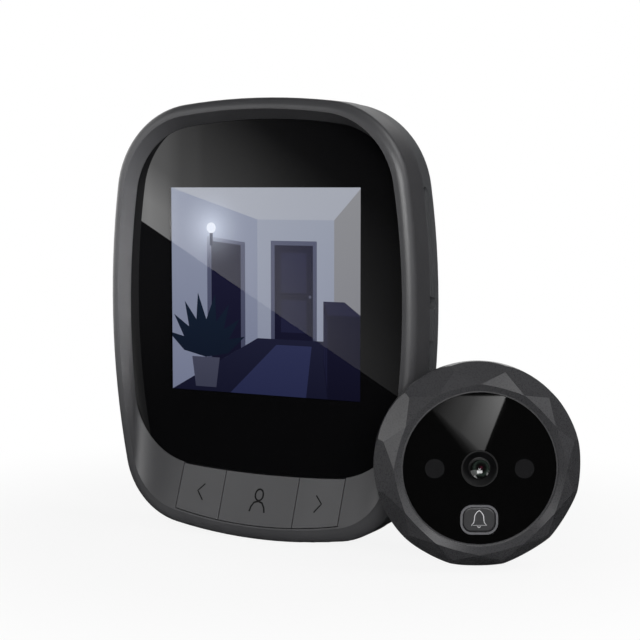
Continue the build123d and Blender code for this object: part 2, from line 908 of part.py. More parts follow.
speaker_corner = 2.0
with BuildPart() as speaker:
    with BuildSketch(facing(inner_y - tape)):
        with Locations((speaker_x, speaker_z)):
            RectangleRounded(speaker_width, speaker_length, speaker_corner)
    extrude(amount=speaker_depth)
write(speaker.part, "speaker")


# Pan-head screws driven from behind, each a separate solid of one group
def screws(places, shank, head, thick, seat_y, length):
    with BuildPart() as group:
        with BuildSketch(facing(seat_y)):
            with Locations(*places):
                Circle(shank)
        extrude(amount=length)
        with BuildSketch(facing(seat_y)):
            with Locations(*places):
                Circle(head)
        extrude(amount=-thick)
    return group.part


case_seat_y = rear_y - case_head_depth
case_length = case_seat_y - glass_y - case_boss_meet + case_thread - tape
write(
    screws(
        case_upper + case_lower,
        case_screw_radius,
        case_head_radius,
        case_head_height,
        case_seat_y,
        case_length,
    ),
    "case_screws",
)
write(
    screws(
        board_screws,
        small_screw_radius,
        small_head_radius,
        small_head_height,
        board_back_y,
        small_screw_length,
    ),
    "board_screws",
)
write(
    screws(
        key_screws,
        small_screw_radius,
        small_head_radius,
        small_head_height,
        key_board_y + board_thickness,
        small_screw_length,
    ),
    "key_board_screws",
)

# Wall bracket: a steel plate with four hooks bent forward and up out of windows
window_width = hook_width + 2 * hook_gap
window_clear = 2.0
window_height = hook_lip + window_clear
hook_back_y = floor_inner_y - hook_gap
hook_front_y = hook_back_y - bracket_steel
with BuildPart() as wall_bracket:
    with BuildSketch(facing(0)):
        RectangleRounded(bracket_width, bracket_height, bracket_corner)
        Circle(tube_hole_radius, mode=Mode.SUBTRACT)
        with GridLocations(2 * bracket_screw_x, 2 * bracket_screw_z, 2, 2):
            Circle(bracket_screw_radius, mode=Mode.SUBTRACT)
        with Locations(*[(x, z + (bracket_steel + window_height) / 2) for x, z in hooks]):
            Rectangle(window_width, window_height, mode=Mode.SUBTRACT)
    extrude(amount=bracket_steel)
    with BuildSketch(facing(0)):
        with Locations(*hooks):
            Rectangle(hook_width, bracket_steel)
    extrude(amount=-hook_front_y)
    with BuildSketch(facing(hook_back_y)):
        with Locations(*[(x, z + hook_lip / 2) for x, z in hooks]):
            Rectangle(hook_width, bracket_steel + hook_lip)
    extrude(amount=bracket_steel)
write(wall_bracket.part, "wall_bracket")

# Outdoor unit, faced by planes across its own axis. Its origin lies on the door's outside face.
turn = radians(unit_yaw)
unit_depth_y = glass_y + unit_behind_glass
unit = Plane(
    (half_width + unit_gap, unit_depth_y, bottom_z + unit_radius),
    x_dir=(cos(turn), sin(turn), 0),
    z_dir=(sin(turn), -cos(turn), 0),
)
unit_section = Plane(unit.origin, x_dir=unit.x_dir, z_dir=unit.x_dir.cross(unit.z_dir))
unit_axis = Axis(unit.origin, unit.z_dir)


# A plane across the unit's axis at a height from the door
def level(height):
    return unit.offset(height)


plate_height = gasket_thickness + plate_thickness
bell_drop = disc_radius - bell_height / 2 - bell_margin
disc_seat = disc_height - disc_thickness
ledge_under = disc_seat - bezel_wall
post_places = PolarLocations(post_circle, 3, start_angle=90)
unit_board_top = unit_board_height + board_thickness
standoff_radius = 2.0
standoff_circle = 14.5
standoff_places = PolarLocations(standoff_circle, 3, start_angle=90)
facet_step = 360 / facet_count

# Faceted bezel: a domed ring whose front is cut by twice twelve planes.
# One set runs through the crown's edges, the other through the edges of a lower polygon half a step round.
with BuildPart() as camera_bezel:
    with BuildSketch(unit_section):
        with BuildLine():
            dome_start = plate_height + bezel_band
            dome_arc = degrees(asin((crown_height - dome_start) / dome_radius))
            dome = JernArc((unit_radius, dome_start), (0, 1), dome_radius, dome_arc)
            Polyline(
                dome @ 1,
                (crown_radius, crown_height),
                (lip_radius, lip_height),
                (lip_radius, disc_height),
                (disc_radius + disc_gap, disc_height),
                (disc_radius + disc_gap, disc_seat),
                (disc_radius - bezel_wall, disc_seat),
                (disc_radius - bezel_wall, ledge_under),
                (cavity_radius, ledge_under),
                (cavity_radius, plate_height),
                (unit_radius, plate_height),
                (unit_radius, dome_start),
            )
        make_face()
    revolve(axis=unit_axis)
    half_step = cos(radians(facet_step / 2))
    crown_rise = crown_height - facet_height
    steep = (crown_rise, facet_radius * half_step - crown_radius)
    gentle = (crown_rise, facet_radius - crown_radius * half_step)
    for index in range(facet_count):
        for angle, rise, radius in (
            (index * facet_step, steep, crown_radius),
            ((index + 0.5) * facet_step, gentle, crown_radius * half_step),
        ):
            around = radians(90 + angle)
            outward = unit.x_dir * cos(around) + unit.y_dir * sin(around)
            at_crown = unit.origin + outward * radius + unit.z_dir * crown_height
            cut = Plane(at_crown, z_dir=outward * rise[0] + unit.z_dir * rise[1])
            split(bisect_by=cut, keep=Keep.BOTTOM)
    with BuildSketch(level(plate_height)):
        with post_places:
            Circle(post_radius)
    extrude(amount=ledge_under - plate_height)
    with BuildSketch(level(plate_height)):
        with post_places:
            Circle(small_screw_radius + screw_gap)
    extrude(amount=small_screw_length, mode=Mode.SUBTRACT)
write(camera_bezel.part, "camera_bezel")

# Glass disc with holes for the lens and the bell button
with BuildPart() as camera_glass:
    with BuildSketch(level(disc_seat)):
        Circle(disc_radius)
        Circle(lens_hole_radius, mode=Mode.SUBTRACT)
        with Locations((0, -bell_drop)):
            RectangleRounded(bell_width, bell_height, bell_corner, mode=Mode.SUBTRACT)
    extrude(amount=disc_thickness)
    chamfer(camera_glass.edges().sort_by(unit_axis)[-1], length=disc_chamfer)
write(camera_glass.part, "camera_glass")

# Rear plate of the outdoor unit: holes for the tube and its own screws, standoffs for the camera board
plate_radius = unit_radius - plate_step
with BuildPart() as camera_plate:
    with BuildSketch(level(gasket_thickness)):
        Circle(plate_radius)
        Circle(tube_radius + screw_gap, mode=Mode.SUBTRACT)
        with post_places:
            Circle(small_screw_radius + screw_clearance, mode=Mode.SUBTRACT)
    extrude(amount=plate_thickness)
    with BuildSketch(level(plate_height)):
        with standoff_places:
            Circle(standoff_radius)
            Circle(small_screw_radius + screw_gap, mode=Mode.SUBTRACT)
    extrude(amount=unit_board_height - plate_height)
    with BuildSketch(level(gasket_thickness)):
        with post_places:
            Circle(small_head_radius + screw_clearance)
    extrude(amount=small_head_height, mode=Mode.SUBTRACT)
write(camera_plate.part, "camera_plate")

# Three screws from behind into the bezel's posts, their heads below the gasket
head_below = 0.2
with BuildPart() as plate_screws:
    with BuildSketch(level(gasket_thickness + head_below)):
        with post_places:
            Circle(small_head_radius)
    extrude(amount=small_head_height - head_below)
    with BuildSketch(level(gasket_thickness + small_head_height)):
        with post_places:
            Circle(small_screw_radius)
    extrude(amount=small_screw_length)
write(plate_screws.part, "plate_screws")

gasket_inner = 11.0
with BuildPart() as camera_gasket:
    with BuildSketch(level(0)):
        Circle(plate_radius - plate_step)
        Circle(gasket_inner, mode=Mode.SUBTRACT)
    extrude(amount=gasket_thickness)
write(camera_gasket.part, "camera_gasket")

# Threaded tube, modelled at its major diameter, with a flange inside the plate
flange_thickness = 1.0
tube_chamfer = 0.5
with BuildPart() as threaded_tube:
    with BuildSketch(level(-tube_length)):
        Circle(tube_radius)
    extrude(amount=tube_length + plate_height)
    with BuildSketch(level(plate_height)):
        Circle(tube_flange)
    extrude(amount=flange_thickness)
    with BuildSketch(level(-tube_length)):
        Circle(tube_bore)
    extrude(amount=tube_length + plate_height + flange_thickness, mode=Mode.SUBTRACT)
    tip = threaded_tube.edges().filter_by(GeomType.CIRCLE).sort_by(unit_axis)[:2]
    chamfer(tip, length=tube_chamfer)
write(threaded_tube.part, "threaded_tube")

with BuildPart() as clamp_washer:
    with BuildSketch(level(-washer_rest)):
        Circle(washer_radius)
        Circle(tube_radius + slide_gap, mode=Mode.SUBTRACT)
    extrude(amount=-washer_thickness)
write(clamp_washer.part, "clamp_washer")

nut_start = washer_rest + washer_thickness + slide_gap
nut_corner = 0.7
with BuildPart() as clamp_nut:
    with BuildSketch(level(-nut_start)):
        RegularPolygon(nut_flats / 2, 6, major_radius=False)
        Circle(tube_radius + slide_gap, mode=Mode.SUBTRACT)
    extrude(amount=-nut_thickness)
    with BuildSketch(level(-nut_start)):
        Circle(nut_flats / 2 + nut_corner)
    extrude(amount=-nut_thickness, mode=Mode.INTERSECT)
write(clamp_nut.part, "clamp_nut")

# Camera board with the lens holder, lamps, bell switch and ribbon socket, on the plate's three standoffs
with BuildPart() as camera_board:
    with BuildSketch(level(unit_board_height)):
        Circle(unit_board_radius)
        with standoff_places:
            Circle(small_screw_radius + screw_gap, mode=Mode.SUBTRACT)
    extrude(amount=board_thickness)
write(camera_board.part, "camera_board")

with BuildPart() as camera_board_screws:
    with BuildSketch(level(unit_board_top)):
        with standoff_places:
            Circle(small_head_radius)
    extrude(amount=small_head_height)
    with BuildSketch(level(unit_board_top)):
        with standoff_places:
            Circle(small_screw_radius)
    extrude(amount=-small_screw_length)
write(camera_board_screws.part, "camera_board_screws")

# The socket for the ribbon hangs from the board over the tube's mouth
ribbon_socket_height = 1.5
ribbon_socket_length = 6.6
ribbon_socket_width = 3.0
ribbon_slot_wall = 1.0
with BuildPart() as ribbon_socket:
    with BuildSketch(level(unit_board_height)):
        Rectangle(ribbon_socket_length, ribbon_socket_width)
    extrude(amount=-ribbon_socket_height)
    with BuildSketch(level(unit_board_height - ribbon_socket_height)):
        Rectangle(
            ribbon_socket_length - 2 * ribbon_slot_wall,
            ribbon_socket_width - 2 * ribbon_slot_wall,
        )
    extrude(amount=ribbon_slot_wall, mode=Mode.SUBTRACT)
write(ribbon_socket.part, "ribbon_socket")

sensor_size = 5.0
sensor_thickness = 0.7
with BuildPart() as image_sensor:
    with BuildSketch(level(unit_board_top)):
        Rectangle(sensor_size, sensor_size)
    extrude(amount=sensor_thickness)
write(image_sensor.part, "image_sensor")

holder_size = 8.6
holder_corner = 0.8
holder_top = 7.8
barrel_radius = 2.9
barrel_wall = 0.8
with BuildPart() as lens_holder:
    with BuildSketch(level(unit_board_top)):
        RectangleRounded(holder_size, holder_size, holder_corner)
    extrude(amount=holder_top - unit_board_top)
    with BuildSketch(level(unit_board_top)):
        Rectangle(sensor_size + 2 * hook_gap, sensor_size + 2 * hook_gap)
    extrude(amount=sensor_thickness + hook_gap, mode=Mode.SUBTRACT)
    with BuildSketch(level(unit_board_top)):
        Circle(barrel_radius + screw_gap)
    extrude(amount=holder_top - unit_board_top, mode=Mode.SUBTRACT)
write(lens_holder.part, "lens_holder")

# Lens ring: a dished collar in the glass, round the front lens
ring_radius = lens_hole_radius - slide_gap
ring_proud = 0.1
ring_rim = 0.35
ring_behind = 0.3
lens_seat = 9.2
foot_rise = 0.2
ring_front = disc_height + ring_proud
ring_back = disc_seat - ring_behind
ring_foot = lens_seat + foot_rise
with BuildPart() as lens_ring:
    with BuildSketch(unit_section):
        with BuildLine():
            Polyline(
                (ring_radius, ring_back),
                (ring_radius, ring_front),
                (ring_radius - ring_rim, ring_front),
                (lens_radius + ring_rim, ring_foot),
                (lens_radius + screw_gap, ring_foot),
                (lens_radius + screw_gap, ring_back),
                (ring_radius, ring_back),
            )
        make_face()
    revolve(axis=unit_axis)
write(lens_ring.part, "lens_ring")

barrel_bottom = 6.6
with BuildPart() as lens_barrel:
    with BuildSketch(level(barrel_bottom)):
        Circle(barrel_radius)
        Circle(barrel_radius - barrel_wall, mode=Mode.SUBTRACT)
    extrude(amount=ring_back - barrel_bottom)
write(lens_barrel.part, "lens_barrel")

rear_lens_inset = 0.4
rear_lens_thickness = 1.1
with BuildPart() as rear_lens:
    with BuildSketch(level(barrel_bottom + rear_lens_inset)):
        Circle(barrel_radius - barrel_wall - screw_gap)
    extrude(amount=rear_lens_thickness)
write(rear_lens.part, "rear_lens")

lens_rise = 0.9
lens_curve = (lens_radius**2 + lens_rise**2) / (2 * lens_rise)
lens_arc = degrees(asin(lens_radius / lens_curve))
with BuildPart() as front_lens:
    with BuildSketch(unit_section):
        with BuildLine():
            cap = JernArc((0, lens_seat + lens_rise), (1, 0), -lens_curve, lens_arc)
            Polyline(cap @ 1, (lens_radius, ring_back), (0, ring_back), cap @ 0)
        make_face()
    revolve(axis=unit_axis)
write(front_lens.part, "front_lens")

# Infrared lamps behind the two windows of the glass
lamp_gap = 0.25
lamp_rounding = 1.2
lamp_height = disc_seat - unit_board_top - lamp_gap
with BuildPart() as infrared_lamps:
    with BuildSketch(level(unit_board_top)):
        with Locations((-lamp_offset, 0), (lamp_offset, 0)):
            Circle(lamp_radius)
    extrude(amount=lamp_height)
    fillet(infrared_lamps.faces().sort_by(unit_axis)[-2:].edges(), radius=lamp_rounding)
write(infrared_lamps.part, "infrared_lamps")

# Bell push: trim ring in the glass, button with a flange behind it, and its switch
bell_gap = 0.1
bell_flange = 0.7
bell_wide = bell_width - 2 * bell_border - 2 * bell_gap
bell_high = bell_height - 2 * bell_border - 2 * bell_gap
bell_round = bell_corner - bell_border - bell_gap
bell_reach = 0.4
bell_rounding = 0.4
trim_proud = 0.15
trim_gap = 0.05
flange_top = disc_seat - bell_gap
flange_low = flange_top - bell_flange
bell_place = Location((0, -bell_drop))
with BuildPart() as bell_trim:
    with BuildSketch(level(disc_seat)):
        with Locations(bell_place):
            RectangleRounded(
                bell_width - 2 * trim_gap,
                bell_height - 2 * trim_gap,
                bell_corner - trim_gap,
            )
            RectangleRounded(
                bell_wide + 2 * bell_gap,
                bell_high + 2 * bell_gap,
                bell_round + bell_gap,
                mode=Mode.SUBTRACT,
            )
    extrude(amount=disc_thickness + trim_proud)
write(bell_trim.part, "bell_trim")

bell_front = disc_height - bell_gap
bell_switch_height = 1.2
bell_stem_reach = 0.6
bell_stem_low = unit_board_top + bell_switch_height + bell_travel + bell_gap
with BuildPart() as bell_button:
    with BuildSketch(level(flange_top)):
        with Locations(bell_place):
            RectangleRounded(bell_wide, bell_high, bell_round)
    extrude(amount=bell_front - flange_top)
    fillet(bell_button.faces().sort_by(unit_axis)[-1].edges(), radius=bell_rounding)
    with BuildSketch(level(flange_low)):
        with Locations(bell_place):
            RectangleRounded(
                bell_width + 2 * bell_reach,
                bell_height + 2 * bell_reach,
                bell_corner,
            )
    extrude(amount=bell_flange)
    with BuildSketch(level(bell_stem_low)):
        with Locations(bell_place):
            Circle(key_stem_radius)
    extrude(amount=flange_low - bell_stem_low)
write(bell_button.part, "bell_button")

with BuildPart() as bell_plunger:
    with BuildSketch(level(bell_stem_low)):
        with Locations(bell_place):
            Circle(plunger_radius)
    extrude(amount=-(bell_travel + bell_gap + bell_stem_reach))
write(bell_plunger.part, "bell_plunger")

with BuildPart() as bell_switch:
    with BuildSketch(level(unit_board_top)):
        with Locations(bell_place):
            RectangleRounded(switch_size, switch_size, switch_corner)
    extrude(amount=bell_switch_height)
    with BuildSketch(level(unit_board_top + bell_switch_height)):
        with Locations(bell_place):
            Circle(plunger_radius + slide_gap)
    extrude(amount=-(bell_stem_reach + bell_travel + bell_gap), mode=Mode.SUBTRACT)
write(bell_switch.part, "bell_switch")
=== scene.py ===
from math import cos, pi, radians, sin, sqrt

import bpy
from mathutils import Euler, Matrix, Vector


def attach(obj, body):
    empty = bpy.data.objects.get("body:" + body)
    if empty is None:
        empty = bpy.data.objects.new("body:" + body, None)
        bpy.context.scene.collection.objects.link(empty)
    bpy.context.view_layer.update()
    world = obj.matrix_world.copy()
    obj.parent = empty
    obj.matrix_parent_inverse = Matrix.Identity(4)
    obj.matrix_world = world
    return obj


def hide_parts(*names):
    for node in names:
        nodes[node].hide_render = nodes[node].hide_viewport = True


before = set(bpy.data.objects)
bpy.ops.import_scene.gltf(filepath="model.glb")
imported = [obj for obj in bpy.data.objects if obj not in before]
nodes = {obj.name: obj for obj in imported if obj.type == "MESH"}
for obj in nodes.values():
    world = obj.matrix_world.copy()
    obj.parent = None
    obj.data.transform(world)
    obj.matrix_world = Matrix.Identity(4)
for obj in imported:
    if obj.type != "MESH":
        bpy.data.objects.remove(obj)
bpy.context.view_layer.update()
mm = 0.001
print("frame loaded:", len(nodes), "nodes")

# The outdoor unit, in millimetres and degrees: the centre of its back, the way it looks, and its disc's height
unit = {"centre": (63.2, -13.15, -48.3), "turn": 28, "discFace": 10.25}
unitOrigin = Vector(unit["centre"]) * mm
unitAxis = Vector((sin(radians(unit["turn"])), -cos(radians(unit["turn"])), 0.0))
unitAcross = Vector((cos(radians(unit["turn"])), sin(radians(unit["turn"])), 0.0))
upward = Vector((0, 0, 1))
unitTurn = Matrix((unitAcross, upward, unitAxis)).transposed()

# The picture on the monitor, in millimetres: its rectangle, its plane, the step between its layers of paint,
# and the heights between which the paints are shaded
picture = {
    "width": 60.6,
    "height": 57.6,
    "middle": -6.0,
    "front": -13.43,
    "layer": 0.01,
    "shadeLow": -35.0,
    "shadeHigh": 23.0,
}


# Helpers for materials

def sRgb(code):
    channels = [int(code[i:i + 2], 16) / 255 for i in (1, 3, 5)]
    return tuple(c / 12.92 if c <= 0.04045 else ((c + 0.055) / 1.055) ** 2.4 for c in channels) + (1.0,)


# Adds a node. A setting is an input's name or number, or a property of the node.
def addNode(tree, kind, settings=None, links=None):
    node = tree.nodes.new(kind)
    for name, value in (settings or {}).items():
        if isinstance(name, int) or name in node.inputs:
            node.inputs[name].default_value = value
        else:
            setattr(node, name, value)
    for name, source in (links or {}).items():
        tree.links.new(source, node.inputs[name])
    return node


def emptyMaterial(name):
    material = bpy.data.materials.new(name)
    material.use_nodes = True
    material.node_tree.nodes.clear()
    return material, material.node_tree


# A material's surface, and the Object coordinates that its pattern reads
def startMaterial(name, settings):
    material, tree = emptyMaterial(name)
    surface = addNode(tree, "ShaderNodeBsdfPrincipled", settings)
    addNode(tree, "ShaderNodeOutputMaterial", links={"Surface": surface.outputs[0]})
    place = addNode(tree, "ShaderNodeTexCoord").outputs["Object"]
    return material, tree, surface, place


def setRamp(ramp, stops):
    while len(ramp.elements) < len(stops):
        ramp.elements.new(0.5)
    for element, (where, color) in zip(ramp.elements, stops):
        element.position = where
        element.color = color


# Gives CAD nodes their material
def dress(material, *names):
    for name in names:
        slots = nodes[name].data.materials
        slots.clear()
        slots.append(material)


# Helpers for new pieces

def deselect():
    bpy.ops.object.select_all(action="DESELECT")


def pick(piece):
    deselect()
    piece.select_set(True)
    bpy.context.view_layer.objects.active = piece


def joinInto(first, others):
    pick(first)
    for piece in others:
        piece.select_set(True)
    bpy.ops.object.join()


# Turns all faces outwards and leaves edit mode
def faceOutwards():
    bpy.ops.mesh.select_all(action="SELECT")
    bpy.ops.mesh.normals_make_consistent(inside=False)
    bpy.ops.object.mode_set(mode="OBJECT")


# Finishes a piece: its place goes into its mesh, and it rides on its body
def settle(piece, body, material, smooth=None):
    pick(piece)
    bpy.ops.object.transform_apply(location=True, rotation=True, scale=True)
    if material:
        piece.data.materials.clear()
        piece.data.materials.append(material)
    if smooth is not None:
        bpy.ops.object.shade_smooth_by_angle(angle=radians(smooth))
    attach(piece, body)
    return piece


# Mould grain: a fine texture, a little uneven in shine, under slow clouds of colour. Sizes in millimetres.
grainLook = {"cloud": 22.0, "shinier": 0.04, "duller": 0.05, "relief": 0.35}


def grainPlastic(name, color, worn, roughness, grain, depth, specular=0.5):
    material, tree, surface, place = startMaterial(name, {"IOR": 1.53, "Specular IOR Level": specular})
    cloudScale = 1 / (grainLook["cloud"] * mm)
    cloud = addNode(tree, "ShaderNodeTexNoise", {"Scale": cloudScale, "Detail": 3.0}, {"Vector": place})
    tint = addNode(tree, "ShaderNodeValToRGB", links={"Fac": cloud.outputs["Fac"]})
    setRamp(tint.color_ramp, [(0.3, sRgb(color)), (0.75, sRgb(worn))])
    tree.links.new(tint.outputs["Color"], surface.inputs["Base Color"])
    grainScale = 1 / (grain * mm)
    fine = addNode(tree, "ShaderNodeTexNoise", {"Scale": grainScale, "Detail": 2.0}, {"Vector": place})
    shine = addNode(
        tree,
        "ShaderNodeMapRange",
        {
            "From Min": 0.25,
            "From Max": 0.75,
            "To Min": roughness - grainLook["shinier"],
            "To Max": roughness + grainLook["duller"],
        },
        {"Value": fine.outputs["Fac"]},
    )
    tree.links.new(shine.outputs["Result"], surface.inputs["Roughness"])
    bump = addNode(
        tree,
        "ShaderNodeBump",
        {"Strength": grainLook["relief"], "Distance": depth * mm},
        {"Height": fine.outputs["Fac"]},
    )
    tree.links.new(bump.outputs["Normal"], surface.inputs["Normal"])
    return material


# Moulded ABS, spark-eroded satin: nearly black, soft broad highlights. Grain drawn at 0.4 mm so that it shows.
blackAbs = grainPlastic("mouldedAbsBlackSatin", "#3c3c3e", "#434345", 0.38, 0.4, 0.02)
# The same plastic in a lighter grey on the rear cover, a coarser grain
greyAbs = grainPlastic("mouldedAbsGreyGrain", "#434446", "#4b4c4e", 0.44, 0.5, 0.035)
# Keys in a slightly lighter batch, smoother from touch
keyAbs = grainPlastic("mouldedAbsKeySatin", "#404042", "#474749", 0.36, 0.35, 0.015)
# Bezel: moulded polycarbonate with cut facets and a soft sheen
bezelPolycarbonate = grainPlastic("facetedPolycarbonateSatin", "#39393b", "#424244", 0.28, 0.3, 0.008)
# Bell button: moulded ABS, smooth and dark grey
bellPlastic = grainPlastic("mouldedAbsBellGrey", "#2a2a2c", "#323234", 0.34, 0.3, 0.01)
# Its trim ring: the same plastic in a pale grey that catches the light
trimPlastic = grainPlastic("mouldedAbsTrimGrey", "#5c5c5f", "#66666a", 0.3, 0.3, 0.01)
# Switches, plungers and holders: moulded nylon, plain matt black
partBlack = grainPlastic("mouldedNylonBlack", "#121214", "#1a1a1c", 0.45, 0.3, 0.02)
# Ribbon sockets: moulded nylon in its natural cream, slightly waxy
partWhite = grainPlastic("mouldedNylonNatural", "#d9d3c4", "#e2ddd0", 0.4, 0.3, 0.02)
# Gasket: moulded rubber, dull black with a coarse skin
gasketRubber = grainPlastic("mouldedRubberBlack", "#141414", "#1c1c1c", 0.7, 0.6, 0.05, 0.35)
# Battery: film shrunk over the cell, blue black and glossy, with slow waves
batteryWrap = grainPlastic("shrinkWrapBlueBlack", "#161b2b", "#1f2536", 0.25, 2.0, 0.03)
# Infrared lamps: moulded clear epoxy, smoke grey and glossy
lampEpoxy = grainPlastic("mouldedClearEpoxy", "#3a3f49", "#444a55", 0.15, 1.0, 0.005)
# The lens ring is black anodised aluminium: darker and less shiny than the plastic
ringAnodised = grainPlastic("anodisedAluminiumBlack", "#060607", "#0a0a0b", 0.4, 0.2, 0.004, 0.25)
# Pad-printed ink of the raised icons: matt, uneven where the pad lifted. Drawn at 0.2 mm so that it shows.
inkBlack = grainPlastic("padPrintInkBlack", "#050506", "#0a0a0b", 0.6, 0.2, 0.004, 0.2)
inkWhite = grainPlastic("padPrintInkWhite", "#c4c4c6", "#cecdd0", 0.45, 0.2, 0.004)

# Metal: brushed or tumbled, with fine streaks that a stretch lays along one axis. Sizes in millimetres.
metalLook = {"shinier": 0.06, "duller": 0.08, "relief": 0.25}


def workedMetal(name, color, worn, roughness, streak, depth, stretch=(1, 1, 1)):
    material, tree, surface, place = startMaterial(name, {"Metallic": 1.0})
    along = addNode(tree, "ShaderNodeMapping", {"Scale": stretch}, {"Vector": place}).outputs["Vector"]
    streakScale = 1 / (streak * mm)
    streaks = addNode(tree, "ShaderNodeTexNoise", {"Scale": streakScale, "Detail": 4.0}, {"Vector": along})
    tint = addNode(tree, "ShaderNodeValToRGB", links={"Fac": streaks.outputs["Fac"]})
    setRamp(tint.color_ramp, [(0.3, sRgb(color)), (0.7, sRgb(worn))])
    tree.links.new(tint.outputs["Color"], surface.inputs["Base Color"])
    shine = addNode(
        tree,
        "ShaderNodeMapRange",
        {
            "From Min": 0.3,
            "From Max": 0.7,
            "To Min": roughness - metalLook["shinier"],
            "To Max": roughness + metalLook["duller"],
        },
        {"Value": streaks.outputs["Fac"]},
    )
    tree.links.new(shine.outputs["Result"], surface.inputs["Roughness"])
    bump = addNode(
        tree,
        "ShaderNodeBump",
        {"Strength": metalLook["relief"], "Distance": depth * mm},
        {"Height": streaks.outputs["Fac"]},
    )
    tree.links.new(bump.outputs["Normal"], surface.inputs["Normal"])
    return material


# Wall bracket: stamped zinc-plated steel with level brush lines
bracketSteel = workedMetal("stampedZincSteel", "#9a9b9d", "#b9babc", 0.34, 3.0, 0.02, (1, 1, 12))
# Screws and washer: rolled zinc-plated steel, bright, with small cloudy patches
screwSteel = workedMetal("rolledZincScrewSteel", "#a9aaac", "#c6c7c9", 0.28, 0.8, 0.01)
# Tube and nut: turned brass under nickel, a smooth warm grey
nickelBrass = workedMetal("turnedNickelBrass", "#b9b6ad", "#c9c6bd", 0.3, 2.5, 0.003)
# Panel tray, switch cans and sockets: pressed tin-plated steel, slightly cloudy
sheetSteel = workedMetal("pressedTinSteel", "#b0b2b4", "#c9cbcd", 0.3, 1.5, 0.01)
# Battery contacts: bronze with a gold flash, warm and glossy
goldBronze = workedMetal("goldFlashedBronze", "#c99b45", "#e0b868", 0.24, 0.8, 0.005)

# Dust mesh over the speaker: a plain weave of black nylon, drawn at 0.5 mm so that it shows
meshLook = {"thread": 0.5, "relief": 0.05}
dustMesh, tree, surface, place = startMaterial("wovenNylonMesh", {"Roughness": 0.6, "IOR": 1.53})
weave = addNode(
    tree,
    "ShaderNodeTexChecker",
    {"Scale": 1 / (meshLook["thread"] * mm), "Color1": sRgb("#101011"), "Color2": sRgb("#26262a")},
    {"Vector": place},
)
tree.links.new(weave.outputs["Color"], surface.inputs["Base Color"])
threads = addNode(
    tree,
    "ShaderNodeBump",
    {"Strength": 0.4, "Distance": meshLook["relief"] * mm},
    {"Height": weave.outputs["Fac"]},
)
tree.links.new(threads.outputs["Normal"], surface.inputs["Normal"])

# Circuit board: green solder mask over copper tracks, which show as a slightly lighter pattern
boardLook = {"cell": 8.0, "track": 0.03}
circuitBoard, tree, surface, place = startMaterial(
    "solderMaskGreen",
    {"Roughness": 0.3, "IOR": 1.5, "Coat Weight": 0.3},
)
cells = addNode(
    tree,
    "ShaderNodeTexBrick",
    {
        "Scale": 1 / (boardLook["cell"] * mm),
        "Mortar Size": boardLook["track"],
        "Color1": sRgb("#0f4a2c"),
        "Color2": sRgb("#115231"),
        "Mortar": sRgb("#1c6b42"),
    },
    {"Vector": place},
)
tree.links.new(cells.outputs["Color"], surface.inputs["Base Color"])

# Cover glass: clear over the picture, black print behind the rest, up to the picture's rectangle
coverGlass, tree, surface, place = startMaterial("coverGlassBlackPrint", {"Roughness": 0.0, "IOR": 1.5})
axes = addNode(tree, "ShaderNodeSeparateXYZ", links={"Vector": place})
inside = []
for axis, middle, size in (("X", 0.0, picture["width"]), ("Z", picture["middle"], picture["height"])):
    shift = {"operation": "SUBTRACT", 1: middle * mm}
    offset = addNode(tree, "ShaderNodeMath", shift, {0: axes.outputs[axis]})
    away = addNode(tree, "ShaderNodeMath", {"operation": "ABSOLUTE"}, {0: offset.outputs[0]})
    near = addNode(tree, "ShaderNodeMath", {"operation": "LESS_THAN", 1: size / 2 * mm}, {0: away.outputs[0]})
    inside.append(near.outputs[0])
window = addNode(tree, "ShaderNodeMath", {"operation": "MULTIPLY"}, {0: inside[0], 1: inside[1]})
printTint = addNode(
    tree,
    "ShaderNodeMix",
    {"data_type": "RGBA", 6: sRgb("#09090a"), 7: sRgb("#ffffff")},
    {"Factor": window.outputs[0]},
)
tree.links.new(printTint.outputs[2], surface.inputs["Base Color"])
tree.links.new(window.outputs[0], surface.inputs["Transmission Weight"])

# Camera disc: polished black acrylic, with two infrared windows left unprinted that read a little greyer
infraredWindow = {"offset": 11.4, "radius": 2.5}
discAcrylic, tree, surface, place = startMaterial("polishedAcrylicBlack", {"Roughness": 0.02, "IOR": 1.49})
masks = []
for side in (-1, 1):
    centre = unitOrigin + (unitAcross * side * infraredWindow["offset"] + unitAxis * unit["discFace"]) * mm
    apart = addNode(tree, "ShaderNodeVectorMath", {"operation": "DISTANCE", 1: centre}, {0: place})
    reach = {"operation": "LESS_THAN", 1: infraredWindow["radius"] * mm}
    masks.append(addNode(tree, "ShaderNodeMath", reach, {0: apart.outputs["Value"]}).outputs[0])
either = addNode(tree, "ShaderNodeMath", {"operation": "MAXIMUM"}, {0: masks[0], 1: masks[1]})
smoke = addNode(
    tree,
    "ShaderNodeMix",
    {"data_type": "RGBA", 6: sRgb("#070707"), 7: sRgb("#1b1b1c")},
    {"Factor": either.outputs[0]},
)
tree.links.new(smoke.outputs[2], surface.inputs["Base Color"])

# Rear lens: polished optical glass whose coating drifts from a cool to a warm tint over 1.5 mm
lensGlass, tree, surface, place = startMaterial(
    "coatedOpticalGlass",
    {"Roughness": 0.0, "IOR": 1.6, "Transmission Weight": 1.0},
)
driftScale = 1 / (1.5 * mm)
coating = addNode(tree, "ShaderNodeTexNoise", {"Scale": driftScale, "Detail": 2.0}, {"Vector": place})
tint = addNode(tree, "ShaderNodeValToRGB", links={"Fac": coating.outputs["Fac"]})
setRamp(tint.color_ramp, [(0.3, sRgb("#eef2ff")), (0.7, sRgb("#f6f3ff"))])
tree.links.new(tint.outputs["Color"], surface.inputs["Base Color"])

